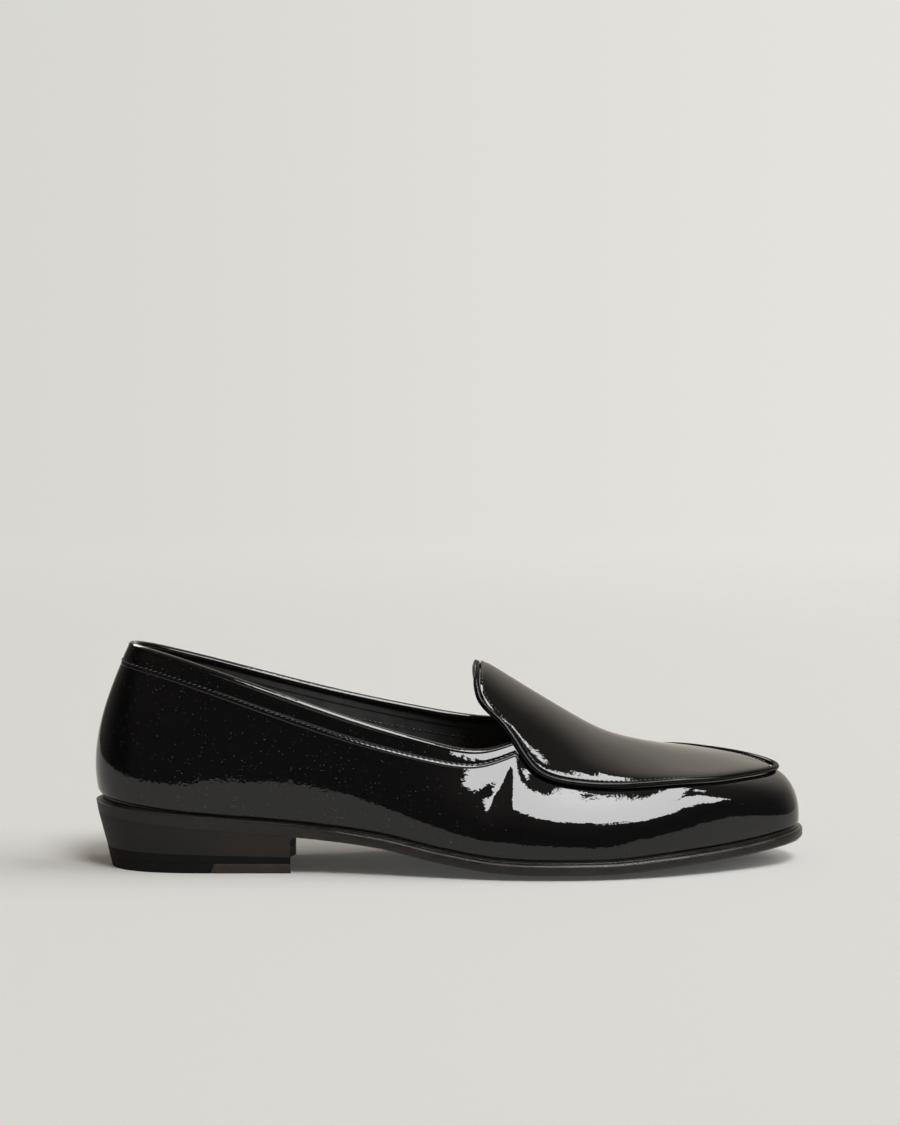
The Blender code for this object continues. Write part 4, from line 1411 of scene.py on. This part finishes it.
@dataclass
class ToplineBand:
    """Patent strip folded over the topline, with its row of stitches outside and the lining's inside."""

    finishes: Finishes
    columns: int = 760
    leaf: int = 26
    rim: int = 14
    inner_leaf: int = 10
    end: float = 1.012
    search: float = 0.45
    samples: int = 56
    inner_width: float = 2.2 * MM
    inner_thick: float = 0.5 * MM
    facing: tuple[float, float, float] = (1.0 * MM, 5.2 * MM, 0.30 * MM)
    facing_rows: int = 12
    slack: float = 0.3 * MM
    edge_round: float = 0.5 * MM
    rim_swell: float = 0.25 * MM
    shoulder: float = 1.1 * MM
    stitch_up: float = 1.7 * MM
    groove_wide: float = 0.50 * MM
    pillow: float = 0.08 * MM
    dimple: float = 0.45
    seat: float = 0.02 * MM
    inner_edge: float = 0.05
    facing_edge: float = 0.04
    facing_gap: float = 0.03 * MM
    stitch_proud: float = 0.8
    stitch_normal: int = -8
    lining_row: float = 9.3 * MM
    lining_lift: float = 0.1 * MM
    thinnest: float = 1e-9
    stitch: Stitch = Stitch()
    lining_stitch: Stitch = Stitch(pitch=2.4 * MM, length=1.7 * MM, radius=0.16 * MM, slant=0.0)
    widths: tuple[BandRow, ...] = (
        BandRow("back", 0.0, 9.2 * MM, 0.20 * MM, 0.10 * MM),
        BandRow("quarter", 0.4, 9.4 * MM, 0.30 * MM, 0.27 * MM),
        BandRow("low side", 0.75, 8.4 * MM, 0.55 * MM, 0.40 * MM),
        BandRow("throat", 1.0, 6.4 * MM, 0.50 * MM, 0.34 * MM),
    )

    def __post_init__(self) -> None:
        """Measure the wall below the topline: line, normal, depth and stitch phase for each column."""
        self.turn = LAST.throat_turn * self.end * np.linspace(-1.0, 1.0, self.columns)
        up = np.linspace(self.search, 1.0, self.samples)[None]
        self.line = LAST.wall(self.turn[:, None], up)
        beside = LAST.wall(self.turn[:, None] + LAST.nudge, up)
        self.rise = unit(np.gradient(self.line, axis=1))
        self.out = unit(np.cross(beside - self.line, self.rise))
        step = np.linalg.norm(np.diff(self.line, axis=1), axis=-1)
        length = np.concatenate((np.zeros((self.columns, 1)), np.cumsum(step, axis=1)), axis=1)
        self.depth = length[:, -1:] - length
        along = (1 - np.cos(self.turn)) / (1 - cos(LAST.throat_turn))
        self.width, self.thick, self.groove = (
            steady(column(self.widths, "along"), column(self.widths, name), along)
            for name in ("width", "thick", "groove"))
        step = np.linalg.norm(np.diff(self.line[:, -1], axis=0), axis=1)
        run = np.concatenate(([0.0], np.cumsum(step)))
        self.phase = (run / self.stitch.pitch)[:, None]
        self.ones = np.ones((self.columns, 1))

    def at(self, down: Array, off: Array, over: Array) -> Array:
        """Points beside the wall, read from the measured lines by straight steps between samples.

        Args:
            down: distance below the topline along the wall, columns by points.
            off: distance out of the wall.
            over: distance above the topline.

        Returns:
            Points, columns by points by 3.
        """
        down, off, over = np.broadcast_arrays(down, off, over)
        index = np.clip((self.depth[:, :, None] > down[:, None, :]).sum(1), 1, self.samples - 1)
        low, high = (np.take_along_axis(self.depth, i, 1) for i in (index - 1, index))
        part = ((low - down) / np.maximum(low - high, self.thinnest))[..., None]
        place, normal = (
            np.take_along_axis(item, (index - 1)[..., None], 1) * (1 - part)
            + np.take_along_axis(item, index[..., None], 1) * part for item in (self.line, self.out))
        return place + normal * off[..., None] + self.rise[:, -1:] * over[..., None]

    def thickness(self, up: Array, phase: Array) -> Array:
        """Outer leaf above the wall: a round lower edge, a groove for the stitches and a soft pillow.

        Args:
            up: distance above the band's lower edge.
            phase: 0 to 1 over each stitch.

        Returns:
            Distances out of the wall.
        """
        edge = np.sqrt(np.clip(1 - (1 - np.clip(up / self.edge_round, 0, 1)) ** 2, 0, 1))
        pull = 1 - self.dimple * 0.5 * (1 - np.cos(2 * pi * phase))
        groove = self.groove[:, None] * pull * bell(up - self.stitch_up, self.groove_wide)
        room = np.maximum(self.width[:, None] - self.shoulder - self.stitch_up, MM)
        pillow = self.pillow * np.sin(pi * np.clip((up - self.stitch_up) / room, 0, 1))
        return self.thick[:, None] * edge - groove + pillow

    def add_fold(self) -> None:
        """Build and dress the strip: outer leaf, rim, inner leaf and the faces against the wall."""
        width, ones = self.width[:, None], self.ones
        up = (width - self.shoulder) * np.linspace(0.0, 1.0, self.leaf)
        leaf = self.at(width - up, self.thickness(up, self.phase), 0.0)
        inside = -(LAST.wall_thick + self.slack)
        bend = pi * np.linspace(0.0, 1.0, self.rim + 2)[1:-1]
        outside, within = self.thick[:, None] + self.rim_swell, inside - self.inner_thick
        middle, half = 0.5 * (outside + within), 0.5 * (outside - within)
        over = -self.shoulder + (self.shoulder + LAST.overlay) * np.sin(bend)
        rim = self.at(0.0 * ones, middle + half * np.cos(bend), over * ones)
        drop = np.linspace(self.shoulder, self.inner_width, self.inner_leaf)
        left = np.clip((self.inner_width - drop) / self.edge_round, self.inner_edge, 1)
        inner = self.at(drop * ones, (inside - self.inner_thick * np.sqrt(left)) * ones, 0.0)
        back = self.at(np.array([self.inner_width, 0.5 * self.inner_width, 0.0]) * ones, inside * ones, 0.0)
        fold = self.at(0.0 * ones, np.array([inside, self.seat]) * ones, LAST.gap * ones)
        front = self.at(width * np.array([0.0, 0.5, 1.0]), self.seat * ones, 0.0)
        section = np.concatenate((leaf, rim, inner, back, fold, front), axis=1)
        count = section.shape[1]
        faces = quads(self.columns, count, wrap_columns=True).tolist()
        faces += [list(range(count)), list(range((self.columns - 1) * count, self.columns * count))[::-1]]
        band = add_piece("topline_fold", section.reshape(-1, 3), faces, self.finishes.band, SHEET_SHARP,
                         weld=True)
        hand_over(band, "band_patent", "topline_band")

    def add_facing(self) -> None:
        """Build and dress the lining's facing below the rim, thin at its lower edge."""
        first, last, thick = self.facing
        drop = np.linspace(last, first, self.facing_rows)
        back = -LAST.wall_thick - self.facing_gap
        face = back - thick * np.sqrt(np.clip((last - drop) / self.edge_round, self.facing_edge, 1))
        outer, inner = (self.at(drop * self.ones, off * self.ones, 0.0) for off in (back, face))
        facing = add_sheet("topline_facing", outer, inner, self.finishes.lining, weld=True)
        hand_over(facing, "lining")

    def build(self) -> None:
        """Build and dress the folded band, its facing inside and both rows of stitches."""
        thread, normal = self.finishes.thread, self.out[:, self.stitch_normal]
        self.add_fold()
        up = np.full((self.columns, 1), self.stitch_up)
        base = self.thickness(up, self.phase) + self.stitch_proud * self.stitch.radius
        path = self.at(self.width[:, None] - up, base, 0.0)[:, 0]
        self.stitch.sew("topline_stitches", path, normal, thread, "band_patent")
        self.add_facing()
        off = (-LAST.wall_thick - self.lining_lift) * self.ones
        path = self.at(self.lining_row * self.ones, off, 0.0)[:, 0]
        self.lining_stitch.sew("lining_stitches", path, -normal, thread, "lining")


# Pieces of the bottom


def sole_ring(turn: Array, inset: Array, height: Array) -> Array:
    """Rings round the sole: the feather line grown outward, at heights over the sole's lower edge.

    Args:
        turn: angles round the shoe, as a column.
        inset: distances out of the feather line, turns by rings.
        height: heights over the sole's lower edge, one for each ring.

    Returns:
        Points, turns by rings by 3.
    """
    x, y = LAST.plan(turn)
    out_x, out_y = LAST.outward(turn)
    grow = np.broadcast_to(inset, (len(turn), len(height)))
    return np.stack(np.broadcast_arrays(x + out_x * grow, y + out_y * grow, LAST.sole_edge(x) + height), -1)


def rung_cap(ring: Array, across: int) -> tuple[Array, Array]:
    """Cap of a full ring: straight rungs from its lateral to its medial side.

    Args:
        ring: points all round, an even number, heel first.
        across: points on a rung.

    Returns:
        Points, rungs by across by 3, and their place across from -1 to +1.
    """
    half = len(ring) // 2
    lateral, medial = ring[half::-1], np.concatenate((ring[half:], ring[:1]))
    spread = np.linspace(-1.0, 1.0, across)
    part = 0.5 * (spread + 1)[None, :, None]
    return lateral[:, None] + (medial - lateral)[:, None] * part, np.broadcast_to(spread, (half + 1, across))


@dataclass
class Outsole:
    """Thin leather sole: rounded edge, ledge and inset rand, flush with the heel over its seat."""

    finishes: Finishes
    turns: int = 480
    across: int = 41
    edge: float = 1.6 * MM
    belly_low: float = 1.5 * MM
    belly_high: float = 3.1 * MM
    ledge: float = 4.6 * MM
    round_in: float = 1.4 * MM
    rand_in: float = 2.6 * MM
    rand_round: float = 0.3 * MM
    seat_low: float = 0.8 * MM
    seat_ledge: float = 0.5 * MM
    seat_front: float = 0.084
    seat_fade: float = 0.030
    arc: int = 8

    def profile(self) -> tuple[Array, Array, Array]:
        """Side of the sole from tread to rand: two quarter rounds with a flat belly, then the ledge.

        Returns:
            Insets in the forepart, insets in the heel seat, and heights.
        """
        bend = 0.5 * pi * np.linspace(0.0, 1.0, self.arc)
        low = self.round_in * (1 - np.sin(bend)), self.belly_low * (1 - np.cos(bend))
        rise = (self.ledge - self.belly_high) * np.sin(bend)
        high = self.round_in * (1 - np.cos(bend)), self.belly_high + rise
        rand = [self.rand_in - self.rand_round, self.rand_in, self.rand_in]
        inset = np.concatenate((low[0], high[0], rand))
        height = np.concatenate((low[1], high[1], [self.ledge, self.ledge + self.rand_round, LAST.sole_top]))
        seat = self.seat_low * np.clip(1 - height / self.ledge, 0, 1)
        seat[2 * self.arc - 2:] = self.seat_ledge
        seat[2 * self.arc:] = inset[2 * self.arc:]
        return inset, seat, height

    def build(self) -> None:
        """Build and dress the sole."""
        turn = full_turn(self.turns)[:, None]
        inset, seat, height = self.profile()
        x, _ = LAST.plan(turn)
        fade = ease((x - self.seat_front) / self.seat_fade)
        side = sole_ring(turn, self.edge - seat - (inset - seat) * fade, height)
        low, spread = rung_cap(side[:, 0], self.across)
        low[:, 1:-1, 2] = LAST.tread(low[..., 0], spread)[:, 1:-1]
        high, _ = rung_cap(side[:, -1], FLAT_ACROSS)
        points, faces = join_grids((side, True, False), (low, False, False), (high, False, False))
        sole = add_piece("sole_leather", points, faces, self.finishes.sole_edge, weld=True)
        hand_over(sole, "sole", "outsole")


@dataclass
class Insole:
    """Sock on its board inside the shoe, softly crowned at its edge."""

    finishes: Finishes
    turns: int = 320
    across: int = 33
    inset: float = 2.7 * MM
    thick: float = 2.0 * MM
    round_in: float = 0.8 * MM
    arc: int = 5

    def build(self) -> None:
        """Build and dress the sock."""
        turn = full_turn(self.turns)[:, None]
        bend = 0.5 * pi * np.linspace(0.0, 1.0, self.arc)
        base = LAST.sole_top + LAST.gap
        grow = -self.inset - np.concatenate(([0.0], self.round_in * (1 - np.cos(bend))))
        height = base + np.concatenate(([0.0], self.thick - self.round_in * (1 - np.sin(bend))))
        side = sole_ring(turn, grow, height)
        low, _ = rung_cap(side[:, 0], FLAT_ACROSS)
        high, _ = rung_cap(side[:, -1], self.across)
        points, faces = join_grids((side, True, False), (low, False, False), (high, False, False))
        sock = add_piece("insole_sock", points, faces, self.finishes.lining, weld=True)
        hand_over(sock, "lining", "insole")


@dataclass
class Heel:
    """Tapered stack with a hollow breast, a rubber lift and a two-piece tip."""

    finishes: Finishes
    points: int = 60
    breast_points: int = 24
    top_inset: float = 0.8 * MM
    taper: float = 5.6 * MM
    sole_grow: float = 1.6 * MM
    breast_lateral: float = 0.0795
    breast_medial: float = 0.0825
    breast_hollow: float = 4.0 * MM
    breast_fade: float = 0.5
    lift_top: float = 6.8 * MM
    lift_rise: float = 1.8 * MM
    lift_split: float = 4.1 * MM
    tip_split: float = 0.0480
    tip_slant: float = radians(20.0)
    bevel: float = 0.10 * MM
    joint: float = 0.10 * MM
    levels: tuple[float, ...] = (0.0, 0.05, 0.25, 0.50, 0.75, 0.95, 1.0)

    def hollow(self, part: Array) -> Array:
        """Depth of the hollow breast at shares of its width: a parabola."""
        return 4 * self.breast_hollow * part * (1 - part)

    def outline(self, inset: float) -> tuple[Array, Array]:
        """Outline of the heel in plan at one inset: round the back, then the hollow breast.

        Args:
            inset: distance in from the sole's edge.

        Returns:
            The side from lateral corner over the back to the medial corner, and the breast.
        """
        reach = [float(turn_of((at - LAST.feather_back) / LAST.feather_run))
                 for at in (self.breast_lateral, self.breast_medial)]
        turn = np.concatenate((np.linspace(reach[0], 0.0, self.points, endpoint=False),
                               np.linspace(0.0, -reach[1], self.points + 1)))
        x, y = LAST.plan(turn)
        out_x, out_y = LAST.outward(turn)
        grow = self.sole_grow - inset
        side = np.stack([x + out_x * grow, y + out_y * grow], -1)
        part = np.linspace(0.0, 1.0, self.breast_points + 1)[1:-1, None]
        breast = side[-1] + (side[0] - side[-1]) * part
        breast[:, :1] -= self.hollow(part)
        return side, breast

    def lift_height(self, x: Array) -> Array:
        """Top of the lift over x: it thickens evenly to the back."""
        return self.lift_top + self.lift_rise * (1 - x / self.breast_lateral)

    def cap(self, side: Array) -> Array:
        """Rungs across a heel outline that bend to the hollow breast at the front.

        Args:
            side: the outline's side points.

        Returns:
            Points in plan, rungs by across by 2.
        """
        lateral, medial = side[:self.points + 1], side[:self.points - 1:-1]
        part = np.linspace(0.0, 1.0, self.breast_points + 1)[None, :, None]
        grid = lateral[:, None] + (medial - lateral)[:, None] * part
        fade = np.clip(1 - np.arange(self.points + 1) / (self.breast_fade * self.points), 0, 1)[:, None]
        grid[..., 0] -= fade * self.hollow(part)[..., 0]
        return grid

    def layer(self, name: str, low: Height, high: Height, span: tuple[float, float],
              finish: Material) -> Object:
        """One layer between two heights along the shoe, tapered like the whole heel, with small bevels.

        Args:
            name: the piece's name.
            low: height of its foot over x.
            high: height of its top over x.
            span: heights between which it takes its share of the taper.
            finish: its material.

        Returns:
            The new object.
        """
        rings, caps = [], []
        for level in self.levels:
            middle = span[0] + (span[1] - span[0]) * level
            bevel = self.bevel if level in (0.0, 1.0) else 0.0
            side, breast = self.outline(self.top_inset + self.taper * (1 - middle / LAST.heel_height) + bevel)
            for flat, kept in ((np.concatenate((side, breast)), rings), (self.cap(side), caps)):
                foot, top = low(flat[..., 0]), high(flat[..., 0])
                kept.append(np.concatenate((flat, (foot + (top - foot) * level)[..., None]), -1))
        points, faces = join_grids(
            (np.stack(rings), False, True), (caps[0], False, False), (caps[-1], False, False))
        return add_piece(name, points, faces, finish, weld=True)

    def cut(self, piece: Object, shift: float, keep_back: bool) -> None:
        """Cut a layer across on a slanted plane and keep one part.

        Args:
            piece: the layer.
            shift: distance of the cut from the split.
            keep_back: whether the rear part is kept.
        """
        made = bmesh.new()
        made.from_mesh(piece.data)
        spot = (self.tip_split + shift - 0.5 * LAST.length, 0.0, 0.5 * self.lift_split)
        found = bmesh.ops.bisect_plane(
            made, geom=made.verts[:] + made.edges[:] + made.faces[:], plane_co=spot,
            plane_no=(cos(self.tip_slant), 0.0, -sin(self.tip_slant)),
            clear_outer=keep_back, clear_inner=not keep_back)
        edges = [item for item in found["geom_cut"] if isinstance(item, bmesh.types.BMEdge)]
        bmesh.ops.holes_fill(made, edges=edges)
        bmesh.ops.recalc_face_normals(made, faces=made.faces)
        made.to_mesh(piece.data)
        made.free()

    def tip(self, name: str, finish: Material, keep_back: bool) -> Object:
        """One part of the tip: the lowest layer, cut at the split with half the joint.

        Args:
            name: the piece's name.
            finish: its material.
            keep_back: whether it is the rear part.

        Returns:
            The new object.
        """
        split = self.lift_split
        piece = self.layer(name, lambda x: 0 * x, lambda x: split + 0 * x, (0.0, split), finish)
        self.cut(piece, (-0.5 if keep_back else 0.5) * self.joint, keep_back)
        return piece

    def build(self) -> None:
        """Build and dress stack, lift and both parts of the tip."""
        split = self.lift_split
        middle = self.lift_top + 0.5 * self.lift_rise
        stack = self.layer("heel_stack_leather", lambda x: self.lift_height(x) + self.joint,
                           lambda x: LAST.sole_edge(x) - self.joint, (middle + self.joint, LAST.heel_height),
                           self.finishes.stack)
        hand_over(stack, "heel", "heel_stack")
        lift = self.layer("heel_lift_layer", lambda x: split + self.joint + 0 * x, self.lift_height,
                          (split + self.joint, middle), self.finishes.lift)
        hand_over(lift, "lift_rubber", "heel_lift")
        rear = self.tip("heel_tip_rubber", self.finishes.lift, keep_back=True)
        hand_over(rear, "tip_rubber", "heel_tip_rear")
        front = self.tip("heel_tip_insert", self.finishes.tip, keep_back=False)
        hand_over(front, "tip_leather", "heel_tip_front")


# Studio


class LightRow(NamedTuple):
    """Soft panel that only mirrors show: its middle, size, power and where it faces."""

    name: str
    place: tuple[float, float, float]
    size: tuple[float, float]
    power: float
    face: tuple[float, float, float] = (0.0, 0.0, -1.0)


class KeyRow(NamedTuple):
    """Even soft light that only matte things show: azimuth from the front, elevation and width in degrees."""

    name: str
    azimuth: float
    elevation: float
    angle: float
    strength: float


class RampRow(NamedTuple):
    """Soft ramp of light over one axis of a direction: where it starts and stops, and its values there."""

    name: str
    axis: str
    over: tuple[float, float]
    ends: tuple[float, float]


def add_ramps(tree: Tree, axes: Node, rows: tuple[RampRow, ...]) -> Socket:
    """Add the ramps of a table and multiply them.

    Args:
        tree: the world's node tree.
        axes: the node that splits a direction into its axes.
        rows: the ramps.

    Returns:
        The product's output.
    """
    light, *others = [add_ramp(tree, axes.outputs[row.axis], row.over, row.ends, soft=True) for row in rows]
    for other in others:
        light = add_math(tree, "MULTIPLY", light, other)
    return light


def aim(item: Object, toward: Vector, axis: str = "-Z") -> None:
    """Turn an object so that one of its axes points along a direction.

    Args:
        item: the object.
        toward: the direction.
        axis: the axis that follows it.
    """
    item.rotation_mode = "QUATERNION"
    item.rotation_quaternion = toward.to_track_quat(axis, "Y")


@dataclass
class Studio:
    """Pale paper floor, soft lights, a dark room with a pale wall behind, and the camera."""

    camera_place: tuple[float, float, float] = (-0.06979, -1.59748, 0.283)
    camera_look: tuple[float, float, float] = (0.04341, 0.99414, -0.09904)
    lens: float = 125.6
    sensor: float = 36.0
    clip: tuple[float, float] = (0.05, 20.0)
    floor_reach: float = 1.6
    floor_front: float = -0.65
    paper: PaperFloor = PaperFloor("matte studio paper", "#e9ebea", 0.9)
    backdrop: str = "#dfded9"
    warm_wall: str = "#dfd6ca"
    fill: float = 0.25
    warm_fill: str = "#dcc8ac"
    wall: tuple[RampRow, ...] = (
        RampRow("toward the back", "Y", (-0.1, 0.5), (0.0, 1.3)),
        RampRow("straight behind", "Y", (0.7, 1.0), (1.0, 0.65)),
        RampRow("left end", "X", (-0.6, -0.1), (0.1, 1.0)),
        RampRow("right end", "X", (0.5, 0.9), (1.0, 0.3)),
    )
    room: tuple[RampRow, ...] = (
        RampRow("ceiling", "Z", (0.3, 0.95), (0.065, 0.28)),
        RampRow("far left", "X", (-0.90, -0.78), (0.2, 1.0)),
    )
    ground: tuple[RampRow, ...] = (RampRow("left to right", "X", (-0.1, 0.18), (0.93, 1.05)),)
    keys: tuple[KeyRow, ...] = (
        KeyRow("key_light", 24.0, 56.0, 20.0, 1.36),
        KeyRow("side_light", 86.0, 38.0, 56.0, 1.38),
    )
    lights: tuple[LightRow, ...] = (
        LightRow("overhead_softbox", (0.17, -0.84, 1.05), (0.54, 0.52), 11.9),
        LightRow("overhead_strip", (1.045, -0.98, 1.05), (1.21, 0.54), 27.7),
        LightRow("overhead_wing", (0.2825, -0.45, 1.05), (0.235, 0.30), 2.99),
        LightRow("wing_end", (0.255, -0.185, 1.05), (0.15, 0.23), 1.46),
        LightRow("throat_panel", (0.635, -0.452, 1.05), (0.21, 0.085), 0.76),
        LightRow("rear_softbox", (-0.77, 0.92, 1.34), (0.9, 0.6), 20.0, (0.43, -0.51, -0.74)),
    )

    def add_floor(self) -> None:
        """Lay the paper: a flat sheet that ends in front of the shoe."""
        reach = self.floor_reach
        corners = np.array([[-reach, self.floor_front, 0.0], [reach, self.floor_front, 0.0],
                            [reach, reach, 0.0], [-reach, reach, 0.0]])
        mesh = bpy.data.meshes.new("paper_floor")
        mesh.from_pydata(corners.tolist(), [], [(0, 1, 2, 3)])
        mesh.materials.append(self.paper.build())
        floor = add_object("paper_floor", mesh)

    def add_lights(self) -> None:
        """Hang the panels that the patent mirrors, and the broad even keys for all that is matte."""
        for row in self.lights:
            data = bpy.data.lights.new(row.name, "AREA")
            data.shape = "RECTANGLE"
            data.size, data.size_y = row.size
            data.energy = row.power
            lamp = add_object(row.name, data)
            lamp.location = row.place
            aim(lamp, Vector(row.face))
            lamp.visible_camera = False
            lamp.visible_diffuse = False
        for row in self.keys:
            azimuth, elevation = radians(row.azimuth), radians(row.elevation)
            toward = Vector((sin(azimuth) * cos(elevation), -cos(azimuth) * cos(elevation), sin(elevation)))
            data = bpy.data.lights.new(row.name, "SUN")
            data.energy = row.strength
            data.angle = radians(row.angle)
            key = add_object(row.name, data)
            aim(key, toward, "Z")
            key.visible_camera = False
            key.visible_glossy = False

    def add_world(self) -> None:
        """Surround: a dim room with a bright wall behind the shoe, and a plain pale ground for the picture.

        The wall's light rises with how far a direction points back and falls away to both sides. The light
        of the ceiling rises with how far it points up, and the ground brightens a little from left to right.
        """
        world = bpy.data.worlds.new("studio room")
        world.use_nodes = True
        tree = world.node_tree
        tree.nodes.clear()
        toward = add_node(tree, "ShaderNodeTexCoord").outputs["Generated"]
        axes = add_node(tree, "ShaderNodeSeparateXYZ", {"Vector": toward})
        wall, room, ground = (add_ramps(tree, axes, rows) for rows in (self.wall, self.room, self.ground))
        level = add_math(tree, "ADD", wall, room)
        path = add_node(tree, "ShaderNodeLightPath")
        matte = path.outputs["Is Diffuse Ray"]
        shown = add_ramp(tree, matte, (0.0, 1.0), (level, self.fill))
        tone = add_blend(tree, matte, linear(self.warm_wall), linear(self.warm_fill))
        lit = add_node(tree, "ShaderNodeBackground", {"Color": tone, "Strength": shown})
        plain = add_node(tree, "ShaderNodeBackground", {"Color": linear(self.backdrop), "Strength": ground})
        both = add_node(tree, "ShaderNodeMixShader",
                        {0: path.outputs["Is Camera Ray"], 1: lit.outputs[0], 2: plain.outputs[0]})
        add_node(tree, "ShaderNodeOutputWorld", {"Surface": both.outputs[0]})
        bpy.context.scene.world = world

    def add_camera(self) -> None:
        """Stand the camera at the photograph's angle, lens and distance."""
        data = bpy.data.cameras.new("camera")
        data.lens = self.lens
        data.sensor_width = self.sensor
        data.clip_start, data.clip_end = self.clip
        camera = add_object("camera", data)
        camera.location = self.camera_place
        aim(camera, Vector(self.camera_look))
        bpy.context.scene.camera = camera

    def build(self) -> None:
        """Set up camera, floor, lights and surround."""
        bpy.context.scene.view_settings.view_transform = "Standard"
        self.add_camera()
        self.add_floor()
        self.add_lights()
        self.add_world()


def main() -> None:
    """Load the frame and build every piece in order."""
    logging.basicConfig(level=logging.INFO, format="%(name)s %(message)s")
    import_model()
    Studio().build()
    finishes = Finishes()
    for piece in (Upper(finishes), Apron(finishes), Piping(finishes), ToplineBand(finishes),
                  Insole(finishes), Outsole(finishes), Heel(finishes)):
        LOG.info("building %s", type(piece).__name__)
        piece.build()


if __name__ == "__main__":
    main()
